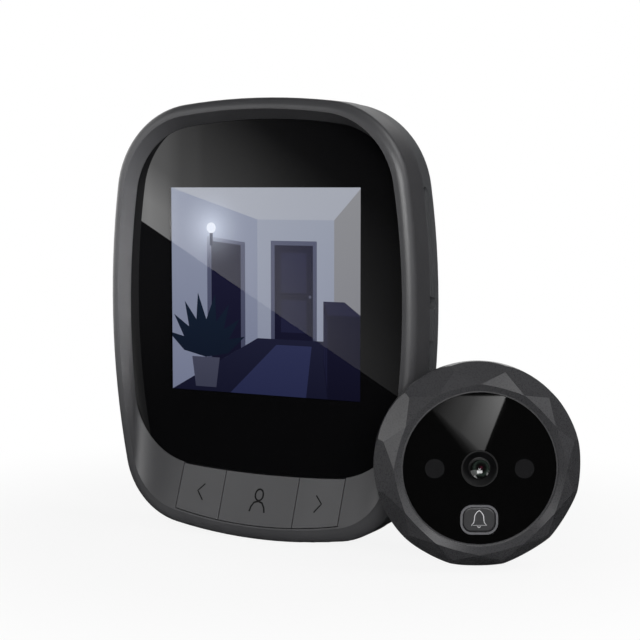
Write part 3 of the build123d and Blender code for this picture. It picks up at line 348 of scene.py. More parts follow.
# Front lens, dark: painted reflections of its coatings, a magenta glint off its centre, then rings to a green
# edge
lensGlintSpots = {"glintCentre": (0.45, 0.3, 9.6), "radius": 2.6}
lensGlintHues = (
    (0.0, "#8a3850"),
    (0.16, "#5a2034"),
    (0.27, "#120a0c"),
    (0.5, "#0c0d0c"),
    (0.8, "#27302b"),
    (1.0, "#0b0c0b"),
)
lensPaintedGlints, tree, surface, place = startMaterial("frontLensPaintedGlints", {"Roughness": 0.03, "IOR": 1.7})
glintCentre = unitOrigin + unitTurn @ Vector(lensGlintSpots["glintCentre"]) * mm
apart = addNode(tree, "ShaderNodeVectorMath", {"operation": "DISTANCE", 1: glintCentre}, {0: place})
share = addNode(
    tree,
    "ShaderNodeMapRange",
    {"From Min": 0.0, "From Max": lensGlintSpots["radius"] * mm},
    {"Value": apart.outputs["Value"]},
)
tint = addNode(tree, "ShaderNodeValToRGB", links={"Fac": share.outputs["Result"]})
# The ramp paints the magenta glint and the green reflection into the lens's base colour
setRamp(tint.color_ramp, [(where, sRgb(hue)) for where, hue in lensGlintHues])
tree.links.new(tint.outputs["Color"], surface.inputs["Base Color"])

dress(blackAbs, "front_frame", "camera_plate")
dress(keyAbs, "left_key", "view_key", "right_key")
dress(greyAbs, "rear_cover", "battery_door")
dress(bezelPolycarbonate, "camera_bezel")
dress(ringAnodised, "lens_ring")
dress(lensPaintedGlints, "front_lens")
dress(coverGlass, "display_glass")
dress(discAcrylic, "camera_glass")
dress(bellPlastic, "bell_button")
dress(trimPlastic, "bell_trim")
dress(gasketRubber, "camera_gasket")
dress(batteryWrap, "battery_pack")
dress(partWhite, "camera_socket", "ribbon_socket")
dress(partBlack, "left_plunger", "view_plunger", "right_plunger", "bell_plunger", "board_chips")
dress(partBlack, "reset_button", "reset_switch", "power_slider", "power_switch", "contact_block")
dress(partBlack, "image_sensor", "lens_holder", "lens_barrel", "picture_panel")
dress(dustMesh, "speaker")
dress(sheetSteel, "panel_tray", "key_switches", "bell_switch", "card_socket", "usb_socket")
dress(circuitBoard, "key_board", "main_board", "camera_board")
dress(goldBronze, "contact_blades")
dress(screwSteel, "case_screws", "board_screws", "key_board_screws", "plate_screws", "camera_board_screws")
dress(screwSteel, "clamp_washer")
dress(bracketSteel, "wall_bracket")
dress(nickelBrass, "threaded_tube", "clamp_nut")
dress(lensGlass, "rear_lens")
dress(lampEpoxy, "infrared_lamps")
print("materials made")

# The picture on the screen is an empty hallway, in millimetres. Its paints share the bluish halo of its lamp.
screenLamp = {"x": -17.0, "z": 11.5, "halo": 13.0, "fall": 2.2, "colour": "#e3ecff"}
lampShape = {"bulb": 1.5, "arm": 5.0, "armHalf": 0.5}


# Glowing paint, shaded from the bottom of the picture to its top
def screenPaint(name, low, high, halo=0.75):
    material, tree, surface, place = startMaterial(
        name,
        {"Base Color": (0, 0, 0, 1), "Roughness": 0.5, "Specular IOR Level": 0.0, "Emission Strength": 1.0},
    )
    axes = addNode(tree, "ShaderNodeSeparateXYZ", links={"Vector": place})
    share = addNode(
        tree,
        "ShaderNodeMapRange",
        {"From Min": picture["shadeLow"] * mm, "From Max": picture["shadeHigh"] * mm},
        {"Value": axes.outputs["Z"]},
    )
    tint = addNode(tree, "ShaderNodeValToRGB", links={"Fac": share.outputs["Result"]})
    setRamp(tint.color_ramp, [(0.0, sRgb(low)), (1.0, sRgb(high))])
    bulb = Vector((screenLamp["x"], picture["front"], screenLamp["z"])) * mm
    apart = addNode(tree, "ShaderNodeVectorMath", {"operation": "DISTANCE", 1: bulb}, {0: place})
    fade = addNode(
        tree,
        "ShaderNodeMapRange",
        {"From Min": 0.0, "From Max": screenLamp["halo"] * mm, "To Min": 1.0, "To Max": 0.0},
        {"Value": apart.outputs["Value"]},
    )
    power = {"operation": "POWER", 1: screenLamp["fall"]}
    soft = addNode(tree, "ShaderNodeMath", power, {0: fade.outputs["Result"]})
    amount = addNode(tree, "ShaderNodeMath", {"operation": "MULTIPLY", 1: halo}, {0: soft.outputs[0]})
    lit = addNode(
        tree,
        "ShaderNodeMix",
        {"data_type": "RGBA", 7: sRgb(screenLamp["colour"])},
        {"Factor": amount.outputs[0], 6: tint.outputs["Color"]},
    )
    tree.links.new(lit.outputs[2], surface.inputs["Emission Color"])
    return material


wallPaint = screenPaint("screenWallLilac", "#747a92", "#9097ab")
wallShade = screenPaint("screenWallShade", "#7b7c84", "#8f9094")
farPaint = screenPaint("screenWallFar", "#858ba0", "#9da3b2")
floorPaint = screenPaint("screenFloorNavy", "#15162a", "#2c2e48")
runnerPaint = screenPaint("screenRunnerBlue", "#262a4a", "#3c4166")
ceilingPaint = screenPaint("screenCeilingPale", "#9a9fb0", "#a9adb8")
doorPaint = screenPaint("screenDoorNavy", "#101022", "#20203a", 0.4)
doorInset = screenPaint("screenDoorInset", "#181930", "#2a2b48", 0.4)
framePaint = screenPaint("screenDoorFrame", "#3c3f56", "#5a5e76")
plantPaint = screenPaint("screenLeafDark", "#0e1424", "#1c2a3c", 0.3)
potPaint = screenPaint("screenPotGrey", "#3a3c4e", "#62647a", 0.3)
lampPaint = screenPaint("screenLampWhite", "#f4f8ff", "#ffffff")
lampArm = screenPaint("screenLampArm", "#23243a", "#2c2d44", 0.2)
hallway = []


# One flat shape of the picture, each layer a hair in front of the last
def paintShape(corners, material, layer):
    deselect()
    bpy.ops.mesh.primitive_circle_add(vertices=len(corners), fill_type="NGON")
    shape = bpy.context.object
    y = picture["front"] - layer * picture["layer"]
    for vertex, (x, z) in zip(shape.data.vertices, corners):
        vertex.co = (x * mm, y * mm, z * mm)
    shape.data.materials.append(material)
    bpy.ops.object.mode_set(mode="EDIT")
    faceOutwards()
    if shape.data.polygons[0].normal.y > 0:
        shape.data.flip_normals()
    hallway.append(shape)


def rectangle(x0, x1, z0, z1):
    return [(x0, z0), (x1, z0), (x1, z1), (x0, z1)]


left, right = -picture["width"] / 2, picture["width"] / 2
low, high = picture["middle"] - picture["height"] / 2, picture["middle"] + picture["height"] / 2
farWall = {"left": -2.0, "right": 22.0, "low": -19.0, "high": 14.0}


# A point of a side wall: depth 0 at the picture's edge and 1 at the far wall, rise 0 at the floor and 1 on top
def onWall(near, end, depth, rise):
    x = near + (end - near) * depth
    bottom, top = low + (farWall["low"] - low) * depth, high + (farWall["high"] - high) * depth
    return x, bottom + (top - bottom) * rise


def onLeftWall(depth, rise):
    return onWall(left, farWall["left"], depth, rise)


def onRightWall(depth, rise):
    return onWall(right, farWall["right"], depth, rise)


# A point of the floor: share 0 at the left wall, 1 at the right one
def onFloor(depth, share):
    x0, z = onLeftWall(depth, 0.0)
    x1 = onRightWall(depth, 0.0)[0]
    return x0 + (x1 - x0) * share, z


# Four corners on a wall, the floor or the cupboard, as where() places them
def patch(where, a0, a1, b0, b1):
    return [where(a0, b0), where(a1, b0), where(a1, b1), where(a0, b1)]


paintShape(patch(onLeftWall, 0, 1, 0, 1), wallPaint, 0)
paintShape(patch(onRightWall, 1, 0, 0, 1), wallShade, 0)
paintShape([onLeftWall(0, 0), onRightWall(0, 0), onRightWall(1, 0), onLeftWall(1, 0)], floorPaint, 0)
paintShape([onLeftWall(1, 1), onRightWall(1, 1), onRightWall(0, 1), onLeftWall(0, 1)], ceilingPaint, 0)
paintShape(rectangle(farWall["left"], farWall["right"], farWall["low"], farWall["high"]), farPaint, 0)

runner = {"end": 0.9, "left": 0.32, "right": 0.72}
paintShape(patch(onFloor, 0.0, runner["end"], runner["left"], runner["right"]), runnerPaint, 1)

# Far door with two inset panels, its frame and its knob
farDoor = {"left": 3.5, "right": 15.5, "top": 7.0, "frame": 1.2, "knob": (14.6, -7.0), "knobRadius": 0.45}
farInsets = {"left": 5.5, "right": 13.5, "heights": ((-17.0, -8.0), (-6.0, 5.0))}
for edge, paint, layer in ((farDoor["frame"], framePaint, 1), (0.0, doorPaint, 2)):
    sides = farDoor["left"] - edge, farDoor["right"] + edge
    paintShape(rectangle(*sides, farWall["low"], farDoor["top"] + edge), paint, layer)
for z0, z1 in farInsets["heights"]:
    paintShape(rectangle(farInsets["left"], farInsets["right"], z0, z1), doorInset, 3)
knobX, knobZ = farDoor["knob"]
knob = [(knobX + farDoor["knobRadius"] * cos(a), knobZ + farDoor["knobRadius"] * sin(a)) for a in range(6)]
paintShape(knob, potPaint, 4)

# Open doorway in the left wall: where it starts and ends, and how high it is
doorway = {"frame": (0.42, 0.86, 0.79), "opening": (0.47, 0.81, 0.765)}
for part, paint, layer in (("frame", framePaint, 1), ("opening", doorPaint, 2)):
    start, end, top = doorway[part]
    paintShape(patch(onLeftWall, start, end, 0.0, top), paint, layer)

# A dark cupboard along the right wall, with two doors in its face
cupboard = {"near": 0.0, "end": 0.62, "tall": 0.4, "deep": 0.17}
cupboardDoors = {"places": ((0.08, 0.44), (0.54, 0.92)), "rise": (0.08, 0.9)}
nearFoot, endFoot = [onFloor(cupboard[end], 1 - cupboard["deep"]) for end in ("near", "end")]
nearBack, endBack = [onRightWall(cupboard[end], cupboard["tall"]) for end in ("near", "end")]
nearTop, endTop = (nearFoot[0], nearBack[1]), (endFoot[0], endBack[1])
paintShape([nearFoot, nearTop, endTop, endFoot], doorPaint, 2)
paintShape([nearFoot, (right, low), nearBack, nearTop], doorPaint, 1)
paintShape([nearTop, nearBack, endBack, endTop], doorInset, 2)


# A point of the cupboard's face: share 0 at its near end and 1 at its far end, rise 0 at its foot and 1 on top
def onCupboard(share, rise):
    foot = [nearFoot[i] + (endFoot[i] - nearFoot[i]) * share for i in (0, 1)]
    top = [nearTop[i] + (endTop[i] - nearTop[i]) * share for i in (0, 1)]
    return foot[0], foot[1] + (top[1] - foot[1]) * rise


for start, end in cupboardDoors["places"]:
    paintShape(patch(onCupboard, start, end, *cupboardDoors["rise"]), doorInset, 3)

# Plant in a pot on the floor at the left: leaves that get shorter as they lean
plant = {"x": -19.0, "foot": -33.6, "potTop": 4.6, "potFoot": 3.4, "potTall": 8.5, "leaf": 19.0, "broad": 2.0}
leafLeans = {"degrees": (-62, -42, -24, -8, 10, 27, 45, 64), "shorten": 260}
rim = plant["foot"] + plant["potTall"]
potOutline = [(-plant["potFoot"], plant["foot"]), (plant["potFoot"], plant["foot"]), (plant["potTop"], rim)]
potOutline.append((-plant["potTop"], rim))
paintShape([(plant["x"] + x, z) for x, z in potOutline], potPaint, 4)
for lean in leafLeans["degrees"]:
    reach = plant["leaf"] * (1 - abs(lean) / leafLeans["shorten"])
    tip = (plant["x"] + reach * sin(radians(lean)), rim + reach * cos(radians(lean)))
    side = (cos(radians(lean)) * plant["broad"], -sin(radians(lean)) * plant["broad"])
    mid = ((plant["x"] + tip[0]) / 2, (rim + tip[1]) / 2)
    leaf = [(plant["x"], rim), (mid[0] + side[0], mid[1] + side[1]), tip, (mid[0] - side[0], mid[1] - side[1])]
    paintShape(leaf, plantPaint, 3)

# Wall lamp: a round bulb on a thin arm
lampX, lampZ = screenLamp["x"], screenLamp["z"]
armSides = lampX - lampShape["armHalf"], lampX + lampShape["armHalf"]
paintShape(rectangle(*armSides, lampZ - lampShape["arm"], lampZ), lampArm, 2)
bulbAngles = [i * pi / 12 for i in range(24)]
bulb = [(lampX + lampShape["bulb"] * cos(a), lampZ + lampShape["bulb"] * sin(a)) for a in bulbAngles]
paintShape(bulb, lampPaint, 3)
joinInto(hallway[0], hallway[1:])
hallway[0].name = "hallwayPicture"
settle(hallway[0], "kit", None)
print("picture drawn")


# Raised icons on the keys and on the bell button, as round wires sunk into the face

def strokeLine(name, lines, wire, body, material):
    curve = bpy.data.curves.new(name, "CURVE")
    curve.dimensions = "3D"
    curve.bevel_depth = wire * mm
    curve.bevel_resolution = 3
    curve.use_fill_caps = True
    for points, closed in lines:
        spline = curve.splines.new("POLY")
        spline.points.add(len(points) - 1)
        for point, co in zip(spline.points, points):
            point.co = (*co, 1)
        spline.use_cyclic_u = closed
    piece = bpy.data.objects.new(name, curve)
    bpy.context.scene.collection.objects.link(piece)
    pick(piece)
    bpy.ops.object.convert(target="MESH")
    return settle(bpy.context.object, body, material, 60)


# The band of keys lies between two arcs, the glass above it and the crest of the frame below it. Millimetres.
keyBand = {"glassLow": -57.0, "glassRadius": 316.7, "crestLow": -71.3, "crestRadius": 134.6}
keyIcons = {"wire": 0.7, "proud": 0.06, "rayFrom": -60.0}
keyChevron = {"x": 18.9, "half": 2.2, "reach": 2.0}
keyPerson = {"headWide": 1.25, "headHigh": 1.5, "headMiddle": 1.55}
shoulders = ((-2.4, -3.0), (-2.1, -1.7), (-1.3, -0.5), (0.0, -0.1), (1.3, -0.5), (2.1, -1.7), (2.4, -3.0))


def bandMiddle(x):
    crest = keyBand["crestLow"] + keyBand["crestRadius"] - sqrt(keyBand["crestRadius"] ** 2 - x ** 2)
    glass = keyBand["glassLow"] + keyBand["glassRadius"] - sqrt(keyBand["glassRadius"] ** 2 - x ** 2)
    return (crest + glass) / 2


# A point of an icon, laid on the key's own face by a ray from the front
def onKey(key, x, rise):
    start = Vector((x, keyIcons["rayFrom"], bandMiddle(x) + rise)) * mm
    point, normal = nodes[key].ray_cast(start, Vector((0, 1, 0)))[1:3]
    return point - normal * (keyIcons["wire"] - keyIcons["proud"]) * mm


# A line on a key, in four steps from each point to the next so that it follows the face
def keyLine(key, points, steps=4):
    line = []
    for (x0, z0), (x1, z1) in zip(points, points[1:]):
        line += [onKey(key, x0 + (x1 - x0) * i / steps, z0 + (z1 - z0) * i / steps) for i in range(steps)]
    return line + [onKey(key, *points[-1])]


for side, body in ((-1, "left_key"), (1, "right_key")):
    tip = side * (keyChevron["x"] + keyChevron["reach"] / 2)
    back = side * (keyChevron["x"] - keyChevron["reach"] / 2)
    points = keyLine(body, [(back, keyChevron["half"]), (tip, 0.0), (back, -keyChevron["half"])])
    strokeLine(body + "Chevron", [(points, False)], keyIcons["wire"], body, inkBlack)
headAngles = [i * pi / 10 for i in range(20)]
head = [
    onKey("view_key", keyPerson["headWide"] * cos(a), keyPerson["headMiddle"] + keyPerson["headHigh"] * sin(a))
    for a in headAngles
]
personLines = [(head, True), (keyLine("view_key", shoulders), False)]
strokeLine("viewKeyPerson", personLines, keyIcons["wire"], "view_key", inkBlack)

# The bell's outline and clapper, drawn on the button's face round its middle
bellIcon = {"face": 10.15, "middle": -13.2, "wire": 0.16, "proud": 0.05}
bellSide = [(0.0, 2.35), (0.5, 2.0), (0.95, 1.4), (1.15, 0.9), (1.2, -0.1), (1.4, -0.85), (1.95, -1.45)]
bellOutline = [(-x, y) for x, y in reversed(bellSide[1:])] + bellSide
clapper = [(-0.45, -1.75), (0.0, -2.05), (0.45, -1.75)]


def onBell(x, y):
    lift = bellIcon["face"] - bellIcon["wire"] + bellIcon["proud"]
    return unitOrigin + unitTurn @ Vector((x, bellIcon["middle"] + y, lift)) * mm


bellLines = [([onBell(*p) for p in bellOutline], True), ([onBell(*p) for p in clapper], False)]
strokeLine("bellIcon", bellLines, bellIcon["wire"], "bell_button", inkWhite)
print("icons made")


# Starts a ring of edges whose points are radii and heights in millimetres
def ringOf(name, profile):
    deselect()
    bpy.ops.mesh.primitive_circle_add(vertices=len(profile))
    ring = bpy.context.object
    ring.name = name
    for vertex, (radius, height) in zip(ring.data.vertices, profile):
        vertex.co = (radius * mm, 0.0, height * mm)
    return ring


# A turned piece: the ring goes once round the axis
def turned(name, profile, steps=64):
    ring = ringOf(name, profile)
    bpy.ops.object.mode_set(mode="EDIT")
    bpy.ops.mesh.select_all(action="SELECT")
    bpy.ops.mesh.spin(steps=steps, angle=2 * pi, center=(0, 0, 0), axis=(0, 0, 1))
    bpy.ops.mesh.select_all(action="SELECT")
    bpy.ops.mesh.remove_doubles(threshold=1e-6)
    faceOutwards()
    return ring


# The tube with its flange, turned, and its rolled M12 thread, a ridge that climbs the core once for each pitch
tube = {"length": 42.0, "bore": 4.2, "core": 5.42, "plate": 2.0, "flange": 8.5, "thick": 1.0, "gap": 0.01}
tubeEdges = {"endWide": 0.3, "endHigh": 0.4, "flange": 0.2}
thread = {
    "pitch": 1.0,
    "crest": 5.98,
    "crestFrom": 0.42,
    "crestTo": 0.56,
    "width": 0.96,
    "sunk": 0.1,
    "start": 0.5,
}
tubeEnd = -tube["length"]
flangeLow, flangeHigh = tube["plate"] + tube["gap"], tube["plate"] + tube["thick"] - tube["gap"]
core = turned(
    "threadedTubeTurned",
    [
        (tube["bore"], tubeEnd + tubeEdges["endHigh"]),
        (tube["bore"] + tubeEdges["endWide"], tubeEnd),
        (tube["core"] - tubeEdges["endWide"], tubeEnd),
        (tube["core"], tubeEnd + tubeEdges["endHigh"]),
        (tube["core"], flangeLow),
        (tube["flange"], flangeLow),
        (tube["flange"], tube["plate"] + tube["thick"] - tubeEdges["flange"]),
        (tube["flange"] - tubeEdges["flange"], flangeHigh),
        (tube["bore"], flangeHigh),
    ],
)
ridgeFoot, threadStart = tube["core"] - thread["sunk"], tubeEnd + thread["start"]
ridge = ringOf(
    "threadRidge",
    [
        (ridgeFoot, threadStart),
        (thread["crest"], threadStart + thread["crestFrom"]),
        (thread["crest"], threadStart + thread["crestTo"]),
        (ridgeFoot, threadStart + thread["width"]),
    ],
)
turns = ridge.modifiers.new("turns", "SCREW")
turns.axis = "Z"
turns.angle = 2 * pi
turns.screw_offset = thread["pitch"] * mm
turns.iterations = int(tube["length"] / thread["pitch"])
turns.steps = turns.render_steps = 28
turns.use_merge_vertices = False
bpy.ops.object.modifier_apply(modifier="turns")
bpy.ops.object.mode_set(mode="EDIT")
bpy.ops.mesh.select_all(action="DESELECT")
bpy.ops.mesh.select_mode(type="EDGE")
bpy.ops.mesh.select_non_manifold()
bpy.ops.mesh.edge_face_add()
faceOutwards()
joinInto(core, [ridge])
core.data.transform(Matrix.Translation(unitOrigin) @ unitTurn.to_4x4())
settle(core, "kit", nickelBrass, 30)
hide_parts("threaded_tube")

# Case screws: pan heads with a cross recess that narrows inwards, sunk in the cover up to topY
caseScrew = {"head": 2.18, "headHigh": 1.6, "shank": 1.08, "length": 9.3, "topY": -2.2}
screwEdges = {"pole": 0.0001, "gap": 0.01, "tipNarrow": 0.33, "tipHigh": 0.3, "taper": 1.4}
headEdges = {"sideNarrow": 0.38, "sideHigh": 0.3, "domeNarrow": 1.08, "domeHigh": 0.08}
caseRecess = {"reach": 2.7, "slot": 0.62, "deep": 0.9, "narrow": 0.55}
caseScrewPlaces = ((34.4, -61.0), (-34.4, -61.0), (27.0, 37.5), (-27.0, 37.5))
screwTurn = {"first": 17, "step": 31}
screwTip = caseScrew["headHigh"] - caseScrew["length"]
screwMaker = turned(
    "caseScrewMaker",
    [
        (screwEdges["pole"], screwTip + 2 * screwEdges["gap"]),
        (caseScrew["shank"] - screwEdges["tipNarrow"], screwTip + screwEdges["tipHigh"]),
        (caseScrew["shank"], screwTip + screwEdges["taper"]),
        (caseScrew["shank"], screwEdges["gap"]),
        (caseScrew["head"], screwEdges["gap"]),
        (caseScrew["head"], caseScrew["headHigh"] / 2),
        (caseScrew["head"] - headEdges["sideNarrow"], caseScrew["headHigh"] - headEdges["sideHigh"]),
        (caseScrew["head"] - headEdges["domeNarrow"], caseScrew["headHigh"] - headEdges["domeHigh"]),
        (screwEdges["pole"], caseScrew["headHigh"] - screwEdges["gap"]),
    ],
    48,
)
for wide, thin in (("reach", "slot"), ("slot", "reach")):
    deselect()
    bpy.ops.mesh.primitive_cube_add(size=1, location=(0, 0, caseScrew["headHigh"] * mm))
    cutter = bpy.context.object
    cutter.scale = (caseRecess[wide] * mm, caseRecess[thin] * mm, 2 * caseRecess["deep"] * mm)
    bpy.ops.object.transform_apply(location=True, rotation=True, scale=True)
    for vertex in cutter.data.vertices:
        if vertex.co.z < caseScrew["headHigh"] * mm:
            vertex.co.x *= caseRecess["narrow"]
            vertex.co.y *= caseRecess["narrow"]
    cut = screwMaker.modifiers.new("cut", "BOOLEAN")
    cut.operation = "DIFFERENCE"
    cut.object = cutter
    pick(screwMaker)
    bpy.ops.object.modifier_apply(modifier="cut")
    bpy.data.objects.remove(cutter)
facingBack = Matrix(((-1, 0, 0), (0, 0, 1), (0, 1, 0))).to_4x4()
seat = caseScrew["topY"] - caseScrew["headHigh"]
for number, (x, z) in enumerate(caseScrewPlaces):
    screw = screwMaker.copy()
    screw.data = screwMaker.data.copy()
    screw.name = "caseScrew" + str(number + 1)
    bpy.context.scene.collection.objects.link(screw)
    twist = Matrix.Rotation(radians(screwTurn["first"] + screwTurn["step"] * number), 4, "Z")
    screw.data.transform(Matrix.Translation(Vector((x, seat, z)) * mm) @ facingBack @ twist)
    settle(screw, "kit", screwSteel, 30)
    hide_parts("case_screws")
bpy.data.objects.remove(screwMaker)
print("thread and screws made")


# Stage: 1 for the camera, for reflections and through glass, and 0 for the light that falls on the object
def seenDirectly(tree):
    rays = addNode(tree, "ShaderNodeLightPath").outputs
    shown = addNode(
        tree,
        "ShaderNodeMath",
        {"operation": "MAXIMUM"},
        {0: rays["Is Camera Ray"], 1: rays["Is Glossy Ray"]},
    )
    return addNode(
        tree,
        "ShaderNodeMath",
        {"operation": "MAXIMUM"},
        {0: shown.outputs[0], 1: rays["Is Transmission Ray"]},
    ).outputs[0]


# A white studio that gives the object only a little light
studio = {"fill": 0.12, "white": 1.0}
world = bpy.data.worlds.new("studio")
bpy.context.scene.world = world
world.use_nodes = True
tree = world.node_tree
tree.nodes.clear()
fill = addNode(tree, "ShaderNodeBackground", {"Color": (1, 1, 1, 1), "Strength": studio["fill"]})
white = addNode(tree, "ShaderNodeBackground", {"Color": (1, 1, 1, 1), "Strength": studio["white"]})
mixed = {0: seenDirectly(tree), 1: fill.outputs[0], 2: white.outputs[0]}
sky = addNode(tree, "ShaderNodeMixShader", links=mixed)
addNode(tree, "ShaderNodeOutputWorld", links={"Surface": sky.outputs[0]})

# White paper under the object. Near it the paper glows less, so that its shadow shows. Metres.
paper = {"level": -0.075, "size": 8, "grey": 0.8, "near": 0.06, "away": 0.17, "nearGlow": 0.88}
paperMaterial, tree = emptyMaterial("studioPaper")
place = addNode(tree, "ShaderNodeTexCoord").outputs["Object"]
diffuse = addNode(tree, "ShaderNodeBsdfDiffuse", {"Color": (paper["grey"], paper["grey"], paper["grey"], 1)})
glow = addNode(tree, "ShaderNodeEmission", {"Color": (1, 1, 1, 1), "Strength": 1.0})
distance = addNode(tree, "ShaderNodeVectorMath", {"operation": "LENGTH"}, {0: place})
glowShare = addNode(
    tree,
    "ShaderNodeMapRange",
    {
        "From Min": paper["near"],
        "From Max": paper["away"],
        "To Min": paper["nearGlow"],
        "To Max": 1.0,
        "interpolation_type": "SMOOTHSTEP",
    },
    {"Value": distance.outputs["Value"]},
)
share = addNode(
    tree,
    "ShaderNodeMath",
    {"operation": "MULTIPLY"},
    {0: glowShare.outputs["Result"], 1: seenDirectly(tree)},
)
mixed = {0: share.outputs[0], 1: diffuse.outputs[0], 2: glow.outputs[0]}
paperMix = addNode(tree, "ShaderNodeMixShader", links=mixed)
addNode(tree, "ShaderNodeOutputMaterial", links={"Surface": paperMix.outputs[0]})
deselect()
bpy.ops.mesh.primitive_plane_add(size=paper["size"], location=(0, 0, paper["level"]))
floor = bpy.context.object
floor.name = "studioFloor"
floor.data.materials.append(paperMaterial)


# A lamp at its place, in metres, that points at its aim
def addLamp(name, light, place, aim):
    lamp = bpy.data.objects.new(name, light)
    lamp.location = place
    lamp.rotation_euler = (Vector(aim) - Vector(place)).to_track_quat("-Z", "Y").to_euler()
    bpy.context.scene.collection.objects.link(lamp)


# Area lamps: shine is how bright the lamp's surface looks in a mirror
softboxes = {
    "leftBox": {"place": (-0.38, 0.08, 0.11), "size": (0.4, 0.36), "shine": 1.0},
    "frontBox": {"place": (-0.62, -0.82, 0.36), "size": (0.6, 0.45), "shine": 1.9},
    "topBox": {"place": (0.1, 0.1, 1.0), "size": (0.8, 0.5), "shine": 0.12},
    "rightBox": {"place": (0.46, 0.06, 0.46), "size": (0.4, 0.36), "shine": 2.6},
    "behindCamera": {"place": (0.56, -0.76, 0.2), "size": (0.7, 0.36), "shine": 8.0},
}
softboxAim = (0.02, -0.01, -0.015)
for name, plan in softboxes.items():
    light = bpy.data.lights.new(name, "AREA")
    light.shape = "RECTANGLE"
    light.size, light.size_y = plan["size"]
    light.energy = plan["shine"] * pi * light.size * light.size_y
    addLamp(name, light, plan["place"], softboxAim)

# A soft spot from the right that grazes the dish and lights its left wall
dishSpot = {
    "place": (0.36, -0.34, 0.0),
    "aim": (-0.0516, -0.056, 0.006),
    "cone": 14.5,
    "blend": 0.9,
    "watts": 23,
    "radius": 0.012,
}
spotLight = bpy.data.lights.new("dishSpot", "SPOT")
spotLight.energy = dishSpot["watts"]
spotLight.spot_size = radians(dishSpot["cone"])
spotLight.spot_blend = dishSpot["blend"]
spotLight.shadow_soft_size = dishSpot["radius"]
addLamp("dishSpot", spotLight, dishSpot["place"], dishSpot["aim"])


# Cards that only reflections show, as the flags and reflectors of a real set
def onlyReflected(card):
    for ray in ("camera", "diffuse", "transmission", "shadow", "volume_scatter"):
        setattr(card, "visible_" + ray, False)


def glowing(name, color, strength):
    material, tree = emptyMaterial(name)
    glow = addNode(tree, "ShaderNodeEmission", {"Color": color, "Strength": strength})
    addNode(tree, "ShaderNodeOutputMaterial", links={"Surface": glow.outputs[0]})
    return material, tree, glow


# Black flags, in metres: a floor and wall that the glass and disc look at, and others behind the right side.
# A wall stands on the edge that starts at its number. A roof closes the top, and a curtain hangs at its left.
flags = {
    "low": -0.0748,
    "top": 1.3,
    "curtain": 0.5,
    "roof": ((-1.5, -1.41), (1.7, -1.41), (1.7, 1.8), (-1.5, 1.8)),
    "floors": (
        {"plan": ((-0.5, 0.3), (-1.5, -1.41), (1.2, -1.41), (1.2, 0.3)), "walls": (1,)},
        {"plan": ((0.05, 0.0), (1.7, 0.45), (1.7, 1.8), (0.1, 1.8)), "walls": (1, 2)},
    ),
}
points, faces = [], []
for part in flags["floors"]:
    first = len(points)
    points += [(x, y, z) for z in (flags["low"], flags["top"]) for x, y in part["plan"]]
    faces.append([first + i for i in range(4)])
    faces += [[first + i, first + i + 1, first + i + 5, first + i + 4] for i in part["walls"]]
first = len(points)
points += [(x, y, flags["top"]) for x, y in flags["roof"]]
points += [(*flags["roof"][i], flags["curtain"]) for i in (3, 0)]
faces += [[first, first + 1, first + 2, first + 3], [first, first + 3, first + 4, first + 5]]
flagMesh = bpy.data.meshes.new("blackFlags")
flagMesh.from_pydata(points, [], faces)
blackFlags = bpy.data.objects.new("blackFlags", flagMesh)
bpy.context.scene.collection.objects.link(blackFlags)
blackFlags.data.materials.append(glowing("flagVelvet", sRgb("#0c0c0d"), 1.0)[0])
onlyReflected(blackFlags)
blackFlags.visible_transmission = True  # the back of the cover glass mirrors them too

# The camera, in millimetres and degrees, and the photograph that its pixels are counted in
cameraPlan = {"place": (211.4, -378.2, 22.9), "down": 4.99, "turn": 28, "lens": 85.6, "sensor": 36}
photo = {"middle": 320, "focal": 1522}
cameraPlace = Vector(cameraPlan["place"]) * mm
cameraTurn = Euler((radians(90 - cameraPlan["down"]), 0, radians(cameraPlan["turn"])))


# Where a pixel's ray meets a mirror plane, and the way it goes on
def mirrored(pixel, point, normal):
    across, down = [(value - photo["middle"]) / photo["focal"] for value in pixel]
    ray = Vector((across, -down, -1))
    ray.rotate(cameraTurn)
    hit = cameraPlace + ray * ((point - cameraPlace).dot(normal) / ray.dot(normal))
    return hit, (ray - 2 * ray.dot(normal) * normal).normalized()


# A card between four corners. Each look is how its light runs across and along it, and the looks add up.
def addCard(name, places, looks, strength):
    deselect()
    bpy.ops.mesh.primitive_plane_add(size=1)
    card = bpy.context.object
    card.name = name
    for vertex, co in zip(card.data.vertices, (places[0], places[1], places[3], places[2])):
        vertex.co = co
    material, tree, glow = glowing(name + "Fabric", (1, 1, 1, 1), strength)
    uv = addNode(tree, "ShaderNodeUVMap").outputs["UV"]
    axes = addNode(tree, "ShaderNodeSeparateXYZ", links={"Vector": uv})
    total = None
    for look in looks:
        ramps = []
        for axis, key in (("X", "across"), ("Y", "along")):
            ramp = addNode(tree, "ShaderNodeValToRGB", links={"Fac": axes.outputs[axis]})
            setRamp(ramp.color_ramp, [(where, (v, v, v, 1)) for where, v in look[key]])
            ramps.append(ramp.outputs["Color"])
        settings = {"data_type": "RGBA", "blend_type": "MULTIPLY", 0: 1.0}
        light = addNode(tree, "ShaderNodeMix", settings, {6: ramps[0], 7: ramps[1]}).outputs[2]
        if total:
            settings = {"data_type": "RGBA", "blend_type": "ADD", 0: 1.0}
            light = addNode(tree, "ShaderNodeMix", settings, {6: total, 7: light}).outputs[2]
        total = light
    tree.links.new(total, glow.inputs["Color"])
    card.data.materials.append(material)
    onlyReflected(card)


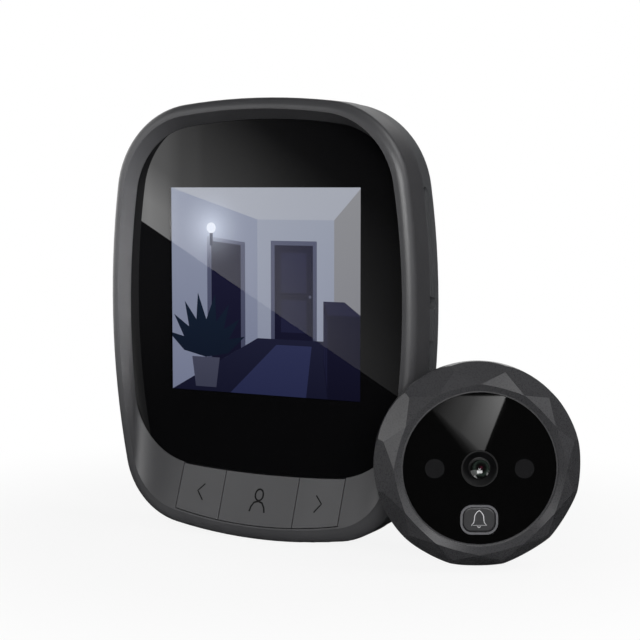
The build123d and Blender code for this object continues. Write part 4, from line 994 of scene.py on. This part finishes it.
# The window that the cover glass mirrors: its corners' pixels, the glass's face and the card's distance in mm
windowCard = {
    "pixels": ((90, 185.5), (420, 412), (420, 186.5), (90, -40)),
    "face": -14.6,
    "distance": 300,
    "glow": 4.2,
    "looks": [
        {
            "across": [
                (0.0, 0.6), (0.13, 0.8), (0.19, 1.0), (0.24, 0.75),
                (0.29, 0.3), (0.36, 0.06), (0.6, 0.03), (1.0, 0.02),
            ],
            "along": [(0.0, 1.0), (0.12, 1.0), (0.3, 0.5), (0.55, 0.45), (1.0, 0.15)],
        },
        {
            "across": [
                (0.0, 0.0), (0.2, 0.02), (0.34, 0.32), (0.5, 0.26),
                (0.75, 0.1), (0.93, 0.03), (1.0, 0.02),
            ],
            "along": [(0.0, 1.0), (0.25, 0.9), (0.6, 0.4), (0.8, 0.05), (1.0, 0.0)],
        },
    ],
}
glassPoint, glassFront = Vector((0, windowCard["face"], 0)) * mm, Vector((0, -1, 0))
middleWay = mirrored((photo["middle"], photo["middle"]), glassPoint, glassFront)[1]
cardPlaces = []
for pixel in windowCard["pixels"]:
    hit, way = mirrored(pixel, glassPoint, glassFront)
    cardPlaces.append(hit + way * (windowCard["distance"] * mm / way.dot(middleWay)))
addCard("windowCard", cardPlaces, windowCard["looks"], windowCard["glow"])

# The wedge of light in the camera's disc is a card that lies near the floor in front of it, its height in mm
wedgeCard = {
    "pixels": ((478, 470), (484, 452), (506, 396), (420, 396)),
    "level": -73,
    "glow": 4.0,
    "looks": [
        {
            "across": [(0.0, 0.01), (0.3, 0.08), (0.65, 0.34), (1.0, 1.0)],
            "along": [(0.0, 0.35), (0.5, 0.7), (1.0, 1.0)],
        },
    ],
}
discPoint = unitOrigin + unitAxis * unit["discFace"] * mm
cardPlaces = []
for pixel in wedgeCard["pixels"]:
    hit, way = mirrored(pixel, discPoint, unitAxis)
    cardPlaces.append(hit + way * ((wedgeCard["level"] * mm - hit.z) / way.z))
addCard("wedgeCard", cardPlaces, wedgeCard["looks"], wedgeCard["glow"])

camera = bpy.data.cameras.new("photoCamera")
camera.lens = cameraPlan["lens"]
camera.sensor_width = cameraPlan["sensor"]
camera.clip_start = 0.01
cameraObject = bpy.data.objects.new("photoCamera", camera)
cameraObject.location = cameraPlace
cameraObject.rotation_euler = cameraTurn
bpy.context.scene.collection.objects.link(cameraObject)
bpy.context.scene.camera = cameraObject
bpy.context.scene.view_settings.view_transform = "Standard"
print("stage, lights and camera set")
